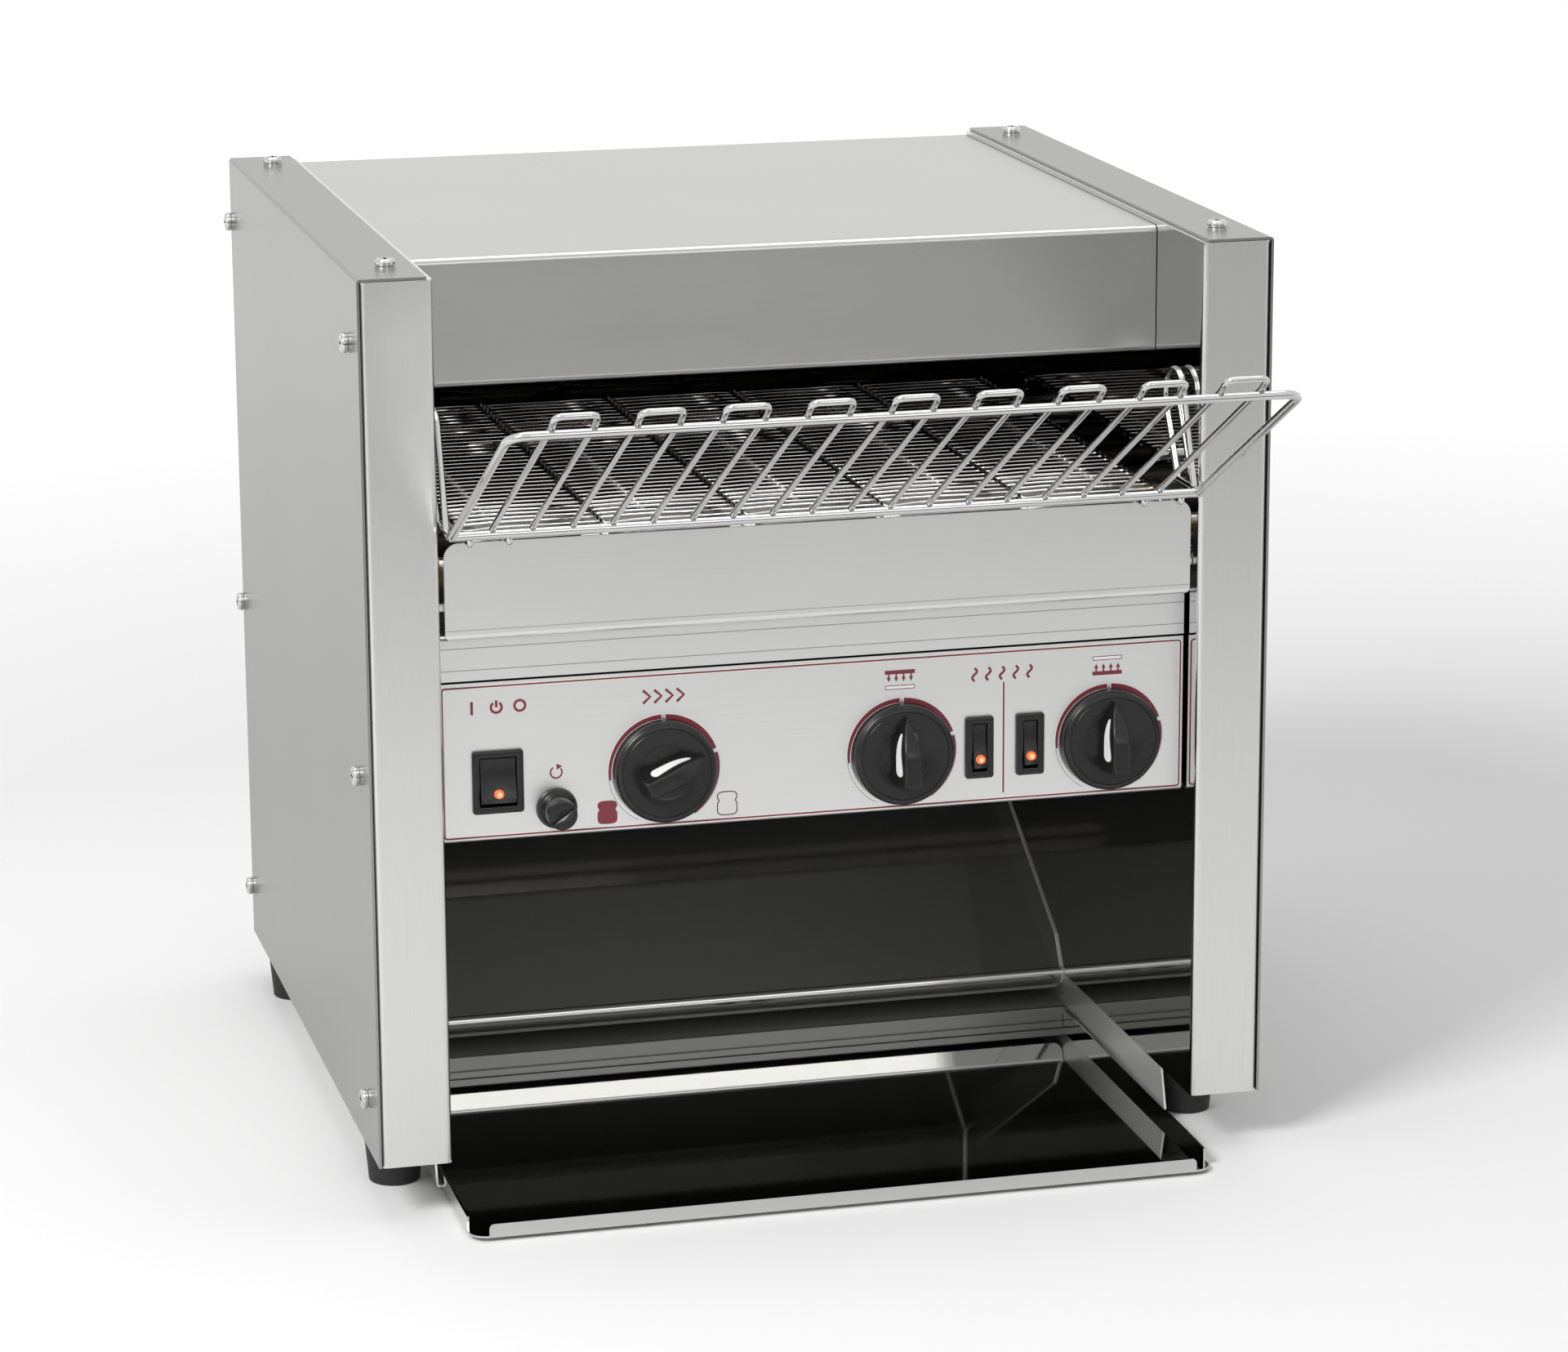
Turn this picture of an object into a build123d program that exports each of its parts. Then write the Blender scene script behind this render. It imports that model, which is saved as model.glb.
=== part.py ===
from build123d import *
import os
from math import atan2, cos, degrees, hypot, radians, sin, sqrt, tan

os.makedirs("parts", exist_ok=True)

# A counter-top conveyor toaster. Bread is laid on the wire rack at the front, a wire belt
# carries it through the heating chamber, and the toast drops behind the belt on to a chute
# that leads it forward into a tray under the control box.
# X runs to the right, Y to the back, Z up. While modelling, y = 0 is the front face of the
# two side towers and z = 0 the table; the export moves the origin to the middle in Y.

# ---- driving dimensions, millimetres ---------------------------------------------------
case_width = 430.0
case_depth = 392.0
case_height = 416.0          # side towers, without the feet
foot_height = 26.0
tower_width = 34.5           # outer face to inner wall face of one tower
sheet = 1.2                  # body sheet
thin_sheet = 1.0             # reflectors and inner trim
bend = 1.8                   # inside radius of a body bend
fit = 0.3                    # gap between pieces that are assembled side by side
running = 0.05               # radial play of a shaft in a bush, a pin in a bore
seat_gap = 0.2               # side cover over the frame
past = 1.0                   # how far a cutter runs past a face

return_length = 38.0         # folded-in outer edge of a tower frame
cover_flange = 31.7          # top flange of a side cover
cover_bend = 0.6             # inside radius, tight over the frame's corner

screw_radius = 2.0
screw_hole_play = 0.1
screw_head_radius = 4.7
screw_head_height = 3.3
screw_washer = 1.1
screw_shank = 9.0
screw_recess = 1.65          # depth of the cross in a head
screw_recess_width = 1.1
side_screw_inset_front = 22.0
side_screw_inset_rear = 8.0
side_screw_from_bottom = 27.4
side_screw_from_top = 31.8
side_screw_middle = 0.44      # share of the height
top_screw_inset_front = 28.9
top_screw_inset_rear = 31.4
top_screw_from_side = 18.0

foot_top_radius = 14.5
foot_bottom_radius = 12.2
foot_from_side = 17.0
foot_inset_front = 60.0
foot_inset_rear = 34.0
foot_recess_radius = 5.5
foot_recess_depth = 15.0

roof_drop = 3.3              # roof below the top of the towers
hood_setback = 67.5
hood_apron = 60.5
hood_hem = 9.0
hood_rear_drop = 34.0

belt_below_roof = 117.7      # upper run; the inside hangs from the roof down
belt_side_gap = 12.5         # to the inner wall
belt_wire = 2.4
belt_strip = 1.6             # thickness of the link strips along the belt
belt_strip_width = 3.0
belt_strips = 5
belt_pitch = 12.5            # of the wires modelled here; a real mat has more
belt_turn_radius = 20.0      # centre of the wires round a roller
front_shaft_y = 30.0
rear_shaft_inset = 82.0      # drop space behind the belt
shaft_radius = 6.0
shaft_overhang = 9.5         # past the inner wall
roller_width = 12.0
roller_shares = [0.208, 0.625]   # of the belt's half width, from the middle
outer_roller_inset = 10.0
roller_bore_play = 0.03
roller_flat = 0.3            # roller rim to the inside of the belt

bush_wall = 2.0
bush_length = 7.0
bush_flange_radius = 11.5
bush_flange = 1.5

support_rod_radius = 2.0
support_rods = 5
support_from_shaft = 24.0    # rod end to shaft axis
support_bar_width = 12.0
support_bar_height = 3.0
support_bar_from_shaft = 32.0
support_rod_inset = 20.0     # outer rods inside the belt's edge

guard_setback = 4.5
guard_height = 45.7
guard_below_belt = 2.0
guard_corner = 7.0
guard_foot_corner = 3.5
guard_wall_gap = 2.8         # open joint at each end of the guard
guard_peg_radius = 2.0       # screws that carry the guard from the walls
guard_peg_rise = 14.8
guard_lip = 6.0
guard_side_flange = 13.0
guard_flange_rise = 9.0      # flange above the guard's lower edge
guard_flange_gap = 6.0       # and below its rounded corner

lid_below_shaft = 27.8
lid_strip = 22.8             # lid's own front above the fascia
lid_joint = 1.2              # open joint between that front and the fascia
box_end_gap = 1.4            # open joint at each end of the lid and the fascia
fascia_height = 76.0
fascia_setback = 17.0
lid_setback = 16.4
box_depth_behind_belt = 1.0  # box rear wall behind the rear shaft
fascia_return = 9.0

knob_radius = 25.4
knob_skirt = 6.5
knob_tip = 19.5              # pointed end of the grip from the knob's axis
knob_tail = 14.5             # square end of the grip
knob_grip_width = 11.5
knob_grip_height = 14.0      # above the skirt
knob_tip_height = 3.0
knob_skirt_draft = 1.0
knob_edge = 1.5
knob_grip_root = 1.0         # grip let into the skirt
knob_grip_draft = 5.0        # degrees
knob_side_swell = 0.72
knob_ridge = 0.2             # share of the tip's reach where the ridge starts to fall
knob_ridge_drop = 1.5
knob_standoff = 1.0
knob_centre_height = 28.6    # above the box floor
spindle_radius = 3.0
spindle_in_knob = 10.0
spindle_in_regulator = 16.0
bush_thread_radius = 4.6
bush_proud = 0.6
speed_knob_from_left = 106.6
speed_knob_turn = 67.0       # pointer clockwise from 12 o'clock, seen from the front
top_heat_knob_from_right = 139.9
bottom_heat_knob_from_right = 38.0
regulator_size = 34.0
regulator_depth = 24.0

switch_height = 30.0
power_switch_width = 24.0
heat_switch_width = 13.8
switch_centre_height = 28.6
power_switch_from_left = 28.0
top_heat_switch_from_right = 102.1
bottom_heat_switch_from_right = 77.2
bezel_proud = 2.0
bezel_rim = 3.3
bezel_chamfer = 0.8
switch_body_inset = 1.3
switch_body_depth = 21.0
switch_body_floor = 5.0      # behind the rocker's pocket
rocker_play = 0.35
rocker_tilt = 9.0            # degrees, each way from level
rocker_front = 4.6           # rocker face ahead of its pin
rocker_dip = 1.0
rocker_back = 6.0            # behind its pin
rocker_edge = 1.0            # thickness of the ends, behind the pin's line
rocker_back_taper = 0.45
rocker_pin_depth = 4.0       # pin behind the bezel's face
rocker_pin_radius = 1.2
rocker_pin_length = 1.2
lamp_radius = 2.2
lamp_sink = 0.1              # lens below the rocker's front
lamp_edge = 0.5
lamp_place = 0.6             # share of the rocker's reach, below its pin

reset_from_left = 55.4
reset_centre_height = 14.0
reset_ring_radius = 9.6
reset_ring = 3.0
reset_cap_radius = 7.0
reset_cap_length = 12.0
reset_cap_wall = 1.5
reset_neck_proud = 6.0
reset_pin_proud = 8.5
reset_slot_depth = 1.5
reset_pin_radius = 2.0
reset_slot_width = 1.6
thermostat_size = 26.0
thermostat_depth = 30.0
reset_bore_depth = 12.0
reset_pin_inside = 8.0
reset_ring_edge = 1.2
reset_cap_edge = 0.8
reset_slot_turn = 35.0       # degrees

chute_angle = 29.0
chute_depth = 184.8          # lip to the back of the case
chute_lip_height = 0.0       # axis of the rolled lip above the case bottom
chute_lip_radius = 2.6
chute_flange = 8.0           # below the rolled lip, leaning back
chute_flange_lean = 20.0     # degrees
chute_flange_corner = 5.0
chute_below_shaft = 29.0
chute_side_height = 11.0
chute_side_setback = 20.0    # rear end of a side upstand ahead of the chute's back
chute_fold = 8.0             # inside radius where the slope turns up
chute_rear_gap = 5.0         # to the rear panel's inner face

tray_front = 37.5            # ahead of the towers
tray_from_chute = 8.2        # rear hem ahead of the chute's lip
tray_floor_bottom = 1.4      # above the table
tray_sheet = 1.0
tray_side_height = 7.0
tray_front_lip = 6.6
tray_lip_corner = 2.4
tray_lip_inset = 8.3         # end of the lip from the tray's side
tray_side_inset = 11.8       # front end of a side from the tray's front
tray_floor_corner = 8.0
tray_rear_hem = 9.0
tray_hem_bead = 2.2          # thickness of the folded hem
tray_hem_fold = 4.0          # and its height
tray_side_play = 1.2
runner_lip = 12.0
runner_lip_height = 0.4      # above the table
runner_front = 38.0
runner_slant = 8.5
runner_bend = 0.6
base_plate_height = 8.0      # above the table
base_plate_step = 2.4        # front edge turned down
base_plate_bend = 0.8

rack_bottom_y = -9.8
rack_bottom_rise = 4.3       # heights of the rack are above the belt
rack_top_y = -146.9
rack_top_rise = 76.4
rack_frame_radius = 2.0
rack_wire_radius = 1.5
rack_rod_radius = 2.2        # bottom rod
rack_stay_radius = 1.9       # short rods under the side loops
rack_wall_gap = 4.3
rack_corner = 9.0
rack_pin_bend = 3.5          # of a hairpin
rack_loop_bend = 12.5
rack_hanger_bend = 2.0
rack_foot_lead = 0.2         # share of a bar's thickness that its foot leads the rod
rack_knee_past = 1.0         # knee of a bar beyond the top bar
rack_loop_inset = 0.6
rack_uprights = 20
rack_hook_rise = 9.0         # closed ends of the hairpins above the top bar
rack_hook_reach = 7.0        # and ahead of it
rack_weld = 0.4              # depth of a weld between two wires
rack_loop_front = 20.5
rack_loop_front_rise = 61.0
rack_loop_rear = 47.0
rack_loop_rear_rise = 47.0
rack_loop_foot_front = -1.5
rack_loop_foot_rear = 22.0
rack_side_play = 1.6
rack_hanger_insets = [8.2, 26.2]
rack_hanger_radius = 1.5
rack_hanger_drop = 9.0
rack_hanger_play = 2.0       # behind the guard
peg_y = 43.0
peg_rise = 12.0
peg_radius = 3.0
peg_length = 6.0

heater_radius = 5.5
top_heater_below_roof = 46.7
top_heaters = 4
top_heater_behind_hood = 42.5
top_heater_from_rear_shaft = 26.0
bottom_heaters = 4
heater_end_play = 2.0
holder_size = 17.0
holder_length = 10.0
bottom_heater_from_shaft = 53.0
top_reflector_below_roof = 23.7
top_reflector_setback = 8.0  # behind the hood apron
top_reflector_apron = 30.0
bottom_reflector_gap = 12.5   # below the middle of the lower tubes
reflector_flange = 5.5
reflector_bend = 1.0

chain_pitch_radius = 15.0
chain_width = 5.0
chain_outer = 3.0
chain_inner = 1.2
sprocket_hub_radius = 9.0
sprocket_hub = 4.0           # hub beside the wheel
shaft_past_sprocket = 2.0
sprocket_from_wall = 14.0
motor_from_rear_shaft = 67.0
motor_above_floor = 47.6     # of the control box
gearbox_length = 40.0
gearbox_depth = 62.0
gearbox_height = 70.0
motor_radius = 26.0
motor_length = 78.0
motor_shaft_radius = 5.0
motor_shaft_inside = 15.0
motor_hole_play = 2.0

fan_size = 80.0
fan_depth = 25.0
fan_x = 62.0
fan_y = 120.0
fan_bore_radius = 37.5
fan_hub_radius = 15.0
fan_tip_gap = 1.5
fan_blades = 7
fan_pin_radius = 2.0
fan_pin_start = 5.0          # above the box floor's upper face
fan_rotor_start = 3.0
fan_arm_width = 4.0
fan_arm_root = 1.0
fan_blade = 1.6              # thickness
fan_blade_chord = 24.0
fan_blade_length = 24.0
fan_blade_root = 2.0         # blade let into the hub
fan_blade_pitch = 35.0       # degrees
fan_blade_play = 3.5         # rotor's height less the blades'
fan_spider = 3.0
grille_slot = 4.0
grille_rings = [12.0, 20.0, 28.0, 36.0]
grille_arcs = 4              # slots in a ring
grille_bridge = 8.0          # metal left between two slots of a ring, with the slots' round ends

gland_height = 40.0
gland_radius = 9.0
gland_nut_radius = 12.0
gland_nut_length = 6.0
gland_reach = 16.0
gland_inside = 8.0
gland_lock_nut = 4.0
gland_bore_radius = 4.5

vent_rows = 4
vent_columns = 9
vent_length = 24.0
vent_height = 4.0
vent_row_pitch = 12.0
vent_column_pitch = 33.0
rear_screw_inset = 30.5

terminal_from_wall = 20.0
terminal_from_box_rear = 81.0
terminal_width = 20.0
terminal_height = 16.0
terminal_ways = 6
terminal_pitch = 10.0
terminal_well = 2.6
terminal_well_depth = 6.0

# ---- derived places --------------------------------------------------------------------
base = foot_height
case_top = base + case_height
outer_x = case_width / 2
wall_x = outer_x - tower_width              # inner wall face
frame_x = outer_x - sheet - seat_gap        # outer face of the frame's folded edge
roof_z = case_top - roof_drop
rear_shaft_y = case_depth - rear_shaft_inset
belt_z = roof_z - belt_below_roof
shaft_z = belt_z - belt_turn_radius
lid_z = shaft_z - lid_below_shaft
box_z = lid_z - lid_strip - fascia_height
box_rear_y = rear_shaft_y + box_depth_behind_belt
control_z = box_z + knob_centre_height
switch_z = box_z + switch_centre_height
screw_hole = screw_radius + screw_hole_play
rear_face_y = case_depth - sheet            # outer face of the rear panel, under the hood
power_switch_x = -wall_x + power_switch_from_left
top_heat_switch_x = wall_x - top_heat_switch_from_right
bottom_heat_switch_x = wall_x - bottom_heat_switch_from_right
speed_knob_x = -wall_x + speed_knob_from_left
top_heat_knob_x = wall_x - top_heat_knob_from_right
bottom_heat_knob_x = wall_x - bottom_heat_knob_from_right
reset_x = -wall_x + reset_from_left
reset_z = box_z + reset_centre_height
sprocket_x = wall_x + sprocket_from_wall
shaft_end_x = sprocket_x + chain_width / 2 + shaft_past_sprocket
motor_y = rear_shaft_y - motor_from_rear_shaft
motor_z = box_z + motor_above_floor
terminal_y = box_rear_y - terminal_from_box_rear
belt_half_width = wall_x - belt_side_gap
roller_places = [share * belt_half_width for share in roller_shares]
roller_places.append(belt_half_width - outer_roller_inset)
guard_high = belt_z - guard_below_belt
guard_low = guard_high - guard_height
chute_lip_y = case_depth - chute_depth
chute_high = shaft_z - chute_below_shaft
tray_rear = chute_lip_y - tray_from_chute
rack_half_width = wall_x - rack_wall_gap
rear_screw_places = [rear_screw_inset - wall_x, 0, wall_x - rear_screw_inset]
top_heater_z = roof_z - top_heater_below_roof
top_heater_ends = (hood_setback + top_heater_behind_hood, rear_shaft_y - top_heater_from_rear_shaft)
bottom_heater_z = shaft_z                   # between the two runs of the belt
bottom_heater_ends = (front_shaft_y + bottom_heater_from_shaft,
                      rear_shaft_y - bottom_heater_from_shaft)
rack_tip_y = rack_top_y - rack_hook_reach - rack_wire_radius
middle_y = (rack_tip_y + case_depth + gland_reach) / 2
place = Pos(0, -middle_y, 0)


# ---- shapes ----------------------------------------------------------------------------
def block(x0, x1, y0, y1, z0, z1):
    return Pos((x0 + x1) / 2, (y0 + y1) / 2, (z0 + z1) / 2) * Box(x1 - x0, y1 - y0, z1 - z0)


def bar_x(x0, x1, y, z, radius):
    return Pos((x0 + x1) / 2, y, z) * Rot(0, 90, 0) * Cylinder(radius, x1 - x0)


def bar_y(x, y0, y1, z, radius):
    return Pos(x, (y0 + y1) / 2, z) * Rot(90, 0, 0) * Cylinder(radius, y1 - y0)


def bar_z(x, y, z0, z1, radius):
    return Pos(x, y, (z0 + z1) / 2) * Cylinder(radius, z1 - z0)


def mirrored(shape):
    return mirror(shape, about=Plane.YZ)


def fused(shapes):
    whole = shapes[0]
    return whole.fuse(*shapes[1:]) if len(shapes) > 1 else whole


def wire(points, bend_radius, radius):
    path = FilletPolyline(*points, radius=bend_radius)
    return sweep(Plane(origin=path @ 0, z_dir=path % 0) * Circle(radius), path=path)


def miter_offset(points, distance):
    """The corners of a path moved to its left by a distance."""
    moved = []
    count = len(points)
    for i in range(count):
        before = points[max(i - 1, 0)]
        here = points[i]
        after = points[min(i + 1, count - 1)]
        into = Vector(here[0] - before[0], here[1] - before[1])
        out = Vector(after[0] - here[0], after[1] - here[1])
        into = (into if into.length > 0 else out).normalized()
        out = (out if out.length > 0 else into).normalized()
        normal_in = Vector(-into.Y, into.X)
        normal_out = Vector(-out.Y, out.X)
        middle = (normal_in + normal_out).normalized()
        reach = distance / middle.dot(normal_in)
        moved.append((here[0] + middle.X * reach, here[1] + middle.Y * reach))
    return moved


def turns_left(points, i):
    ax, ay = points[i][0] - points[i - 1][0], points[i][1] - points[i - 1][1]
    bx, by = points[i + 1][0] - points[i][0], points[i + 1][1] - points[i][1]
    return ax * by - ay * bx > 0


def bent_line(points, radii):
    return FilletPolyline(*points, radius=radii) if radii else Line(*points)


def sheet_face(points, thickness, inside=bend):
    """A bent strip: the path is one face, the other lies to its left by the thickness."""
    corners = range(1, len(points) - 1)
    outer = inside + abs(thickness)
    near = [outer if turns_left(points, i) == (thickness > 0) else inside for i in corners]
    far = [inside if r == outer else outer for r in near]
    first = bent_line(points, near)
    second = bent_line(miter_offset(points, thickness), far)
    ends = [Line(first @ 1, second @ 1), Line(second @ 0, first @ 0)]
    return make_face([*first.edges(), *second.edges(), *[line.edge() for line in ends]])


def sheet_x(points, thickness, x0, x1, inside=bend):
    """Bent sheet with its profile in (y, z), from x0 to x1."""
    return extrude(Plane.YZ.offset(x0) * sheet_face(points, thickness, inside), x1 - x0)


def sheet_z(points, thickness, z0, z1, inside=bend):
    """Bent sheet with its profile in (x, y), from z0 to z1."""
    return extrude(Plane.XY.offset(z0) * sheet_face(points, thickness, inside), z1 - z0)


def sheet_y(points, thickness, y0, y1, inside=bend):
    """Bent sheet with its profile in (x, z), from y0 to y1."""
    plane = Plane(origin=(0, y1, 0), x_dir=(1, 0, 0), z_dir=(0, -1, 0))
    return extrude(plane * sheet_face(points, thickness, inside), y1 - y0)


def pan_screw():
    """Cross-head screw with its washer, head up, seat at z = 0."""
    washer = Pos(0, 0, screw_washer / 2) * Cylinder(screw_head_radius, screw_washer)
    head = Pos(0, 0, screw_washer + screw_head_height / 2) * Cylinder(
        screw_head_radius, screw_head_height)
    head = fillet(head.edges().sort_by(Axis.Z)[-1], screw_head_height * 0.45)
    head = chamfer(head.edges().sort_by(Axis.Z)[0], screw_washer * 0.4)
    shank = bar_z(0, 0, -screw_shank, screw_washer, screw_radius)
    top = screw_washer + screw_head_height
    cross = Rectangle(screw_head_radius, screw_recess_width)
    cross = cross + Rectangle(screw_recess_width, screw_head_radius)
    recess = extrude(Pos(0, 0, top - screw_recess) * cross, screw_recess + past)
    return fused([washer, head, shank]) - recess


# ---- side towers -----------------------------------------------------------------------
def side_screw_points():
    ys = [side_screw_inset_front, case_depth - side_screw_inset_rear]
    zs = [base + side_screw_from_bottom, base + case_height * side_screw_middle,
          case_top - side_screw_from_top]
    return [(y, z) for y in ys for z in zs]


def top_screw_points():
    ys = [top_screw_inset_front, case_depth - top_screw_inset_rear]
    return [(outer_x - top_screw_from_side, y) for y in ys]


def foot_points():
    ys = [foot_inset_front, case_depth - foot_inset_rear]
    return [(outer_x - foot_from_side, y) for y in ys]


def spaced(ends, count):
    return [ends[0] + i * (ends[1] - ends[0]) / (count - 1) for i in range(count)]


def heater_rows():
    tops = [(y, top_heater_z) for y in spaced(top_heater_ends, top_heaters)]
    bottoms = [(y, bottom_heater_z) for y in spaced(bottom_heater_ends, bottom_heaters)]
    return tops, bottoms


def side_frame(right):
    """Inner channel of the right tower: inner wall, front column, rear flange, two ends."""
    top = case_top - sheet - seat_gap
    path = [(frame_x, return_length), (frame_x, 0), (wall_x, 0), (wall_x, case_depth),
            (frame_x, case_depth), (frame_x, case_depth - return_length)]
    shell = sheet_z(path, -sheet, base, top)
    half = sheet / 2
    ends = [block(wall_x + half, frame_x - half, half, case_depth - half, z, z + sheet)
            for z in (base, top - sheet)]
    frame = fused([shell, *ends])
    bush_hole = shaft_radius + running + bush_wall + running
    cuts = [wall_hole(y, shaft_z, bush_hole) for y in (front_shaft_y, rear_shaft_y)]
    for row in heater_rows():
        cuts += [wall_hole(y, z, heater_radius + fit) for y, z in row]
    cuts += [bar_x(frame_x - sheet - past, frame_x + past, y, z, screw_hole)
             for y, z in side_screw_points()]
    cuts += [bar_z(x, y, top - sheet - past, top + past, screw_hole) for x, y in top_screw_points()]
    cuts += [bar_z(x, y, base - past, base + sheet + past, screw_hole) for x, y in foot_points()]
    if right:
        cuts.append(wall_hole(motor_y, motor_z, motor_shaft_radius + motor_hole_play))
    else:
        cuts.append(bar_y(gland_x(), case_depth - sheet - past, case_depth + past,
                          base + gland_height, gland_radius + running))
    return frame - fused(cuts)


def wall_hole(y, z, radius):
    return bar_x(wall_x - past, wall_x + sheet + past, y, z, radius)


def gland_x():
    return outer_x - tower_width / 2


def side_cover():
    """Outer skin of the right tower, with its top flange."""
    path = [(outer_x, base), (outer_x, case_top), (outer_x - cover_flange, case_top)]
    cover = sheet_y(path, sheet, seat_gap, case_depth, cover_bend)
    cuts = [bar_x(outer_x - sheet - past, outer_x + past, y, z, screw_hole)
            for y, z in side_screw_points()]
    cuts += [bar_z(x, y, case_top - sheet - past, case_top + past, screw_hole)
             for x, y in top_screw_points()]
    return cover - fused(cuts)


def feet(y):
    x = outer_x - foot_from_side
    cone = Pos(x, y, base / 2) * Cone(foot_bottom_radius, foot_top_radius, base)
    recess = bar_z(x, y, -past, foot_recess_depth, foot_recess_radius)
    foot = cone - recess - bar_z(x, y, 0, base + past, screw_hole)
    return [foot, mirrored(foot)]


def case_screws():
    side = [Pos(outer_x, y, z) * Rot(0, 90, 0) * pan_screw() for y, z in side_screw_points()]
    top = [Pos(x, y, case_top) * pan_screw() for x, y in top_screw_points()]
    under = [Pos(x, y, foot_recess_depth) * Rot(180, 0, 0) * foot_screw() for x, y in foot_points()]
    rear = [Pos(x, case_depth, rear_screw_z()) * Rot(-90, 0, 0) * pan_screw()
            for x in rear_screw_places]
    right = side + top + under
    return right + [mirrored(screw) for screw in right] + rear


def foot_screw():
    """The same head on a longer shank, from the foot's recess into the tower's floor."""
    shank = bar_z(0, 0, -(foot_height - foot_recess_depth) - 2 * sheet, 0, screw_radius)
    return pan_screw() + shank


def rear_screw_z():
    return roof_z - hood_rear_drop / 2


# ---- hood, rear panel, base ------------------------------------------------------------
def top_hood():
    """Roof, front apron with a folded hem, and the rear flange, bent from one sheet."""
    low = roof_z - hood_apron
    path = [(hood_setback + hood_hem, low), (hood_setback, low), (hood_setback, roof_z),
            (case_depth, roof_z), (case_depth, roof_z - hood_rear_drop)]
    half = wall_x - fit
    hood = sheet_x(path, -sheet, -half, half)
    holes = [bar_y(x, case_depth - sheet - past, case_depth + past, rear_screw_z(), screw_hole)
             for x in rear_screw_places]
    return hood - fused(holes)


def rear_panel():
    """Back of the machine between the towers, with side flanges and rows of vents."""
    low = base_plate_height + sheet
    high = roof_z - sheet - bend - fit
    flange_y = rear_face_y - chute_rear_gap + fit
    path = [(-wall_x, flange_y), (-wall_x, rear_face_y), (wall_x, rear_face_y), (wall_x, flange_y)]
    panel = sheet_z(path, -sheet, low, high)
    vents = []
    for row in range(vent_rows):
        for column in range(vent_columns):
            x = (column - (vent_columns - 1) / 2) * vent_column_pitch
            z = (box_z + lid_z) / 2 + (row - (vent_rows - 1) / 2) * vent_row_pitch
            slot = Pos(x, z) * SlotOverall(vent_length, vent_height)
            vents.append(extrude(Plane.XZ.offset(-rear_face_y - past) * slot, sheet + 2 * past))
    holes = [bar_y(x, rear_face_y - sheet - past, rear_face_y + past, rear_screw_z(), screw_hole)
             for x in rear_screw_places]
    return panel - fused(vents + holes)


def base_plate():
    """Floor behind the tray, resting on the runners' inner faces."""
    front = tray_rear + fit
    path = [(front, base_plate_height - base_plate_step), (front, base_plate_height + sheet),
            (case_depth - fit, base_plate_height + sheet)]
    return sheet_x(path, -sheet, -wall_x, wall_x, base_plate_bend)


def tray_runners():
    """Angle strips under the inner walls: the tray slides on their lips."""
    outer = wall_x + sheet
    path = [(outer, base), (outer, runner_lip_height), (wall_x - runner_lip, runner_lip_height)]
    runner = sheet_y(path, -thin_sheet, runner_front, case_depth - fit, runner_bend)
    slant = degrees(atan2(runner_slant, base))
    cutter = block(-2 * runner_lip, 2 * runner_lip, -2 * runner_slant, 0, -2 * base, 2 * base)
    cutter = Pos(wall_x, runner_front, 0) * Rot(-slant, 0, 0) * cutter
    runner = runner - cutter
    return [runner, mirrored(runner)]


def toast_tray():
    """Shallow tray with a front lip, low sides and a rear hem."""
    half = wall_x - tray_side_play
    low = tray_floor_bottom
    front_y = -tray_front
    floor = block(-half, half, front_y, tray_rear, low, low + tray_sheet)
    floor = fillet(floor.edges().filter_by(Axis.Z).sort_by(Axis.Y)[:2], tray_floor_corner)
    side = block(half - tray_sheet, half, front_y + tray_side_inset, tray_rear,
                 low, low + tray_side_height)
    lip_half = half - tray_lip_inset
    lip = block(-lip_half, lip_half, front_y, front_y + tray_sheet, low, low + tray_front_lip)
    lip = fillet(lip.edges().filter_by(Axis.Y).sort_by(Axis.Z)[-2:], tray_lip_corner)
    high = low + tray_rear_hem
    rear = block(-half, half, tray_rear - tray_sheet, tray_rear, low, high - tray_hem_bead / 2)
    hem = block(-half, half, tray_rear - tray_hem_bead, tray_rear, high - tray_hem_fold, high)
    hem = fillet(hem.edges().filter_by(Axis.X).sort_by(Axis.Z)[-2:], tray_hem_bead / 2 - fit)
    return fused([floor, side, mirrored(side), lip, rear, hem])


def toast_chute():
    """Slope from behind the belt to the tray, with a rolled front lip and side upstands."""
    slope = tan(radians(chute_angle))
    lip_z = base + chute_lip_height
    rear_y = rear_face_y - sheet - chute_rear_gap
    path = [(chute_lip_y, lip_z + chute_lip_radius * 0.6),
            (rear_y, lip_z + chute_lip_radius * 0.6 + (rear_y - chute_lip_y) * slope),
            (rear_y, chute_high)]
    half = wall_x
    chute = sheet_x(path, -sheet, -half, half, chute_fold)
    lip = bar_x(-half, half, chute_lip_y, lip_z, chute_lip_radius)
    lip = lip - bar_x(-half - past, half + past, chute_lip_y, lip_z, chute_lip_radius - sheet)
    start = (chute_lip_y, path[0][1] - sheet / 2)
    end_y = rear_y - chute_side_setback
    end = (end_y, start[1] + (end_y - chute_lip_y) * slope)
    side = Polyline(start, end, (end[0] - chute_side_height / 2, end[1] + chute_side_height),
                    (start[0] + chute_side_height, start[1] + chute_side_height * 1.5), close=True)
    side = extrude(Plane.YZ.offset(half - sheet) * make_face(side.edges()), sheet)
    lean = Pos(0, chute_lip_y, lip_z) * Rot(chute_flange_lean, 0, 0)
    front = -chute_lip_radius
    flange = block(-half, half, front, front + sheet, -chute_flange, 0)
    flange = fillet(flange.edges().filter_by(Axis.Y).sort_by(Axis.Z)[:2], chute_flange_corner)
    return fused([chute, lip, side, mirrored(side), lean * flange])


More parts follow.
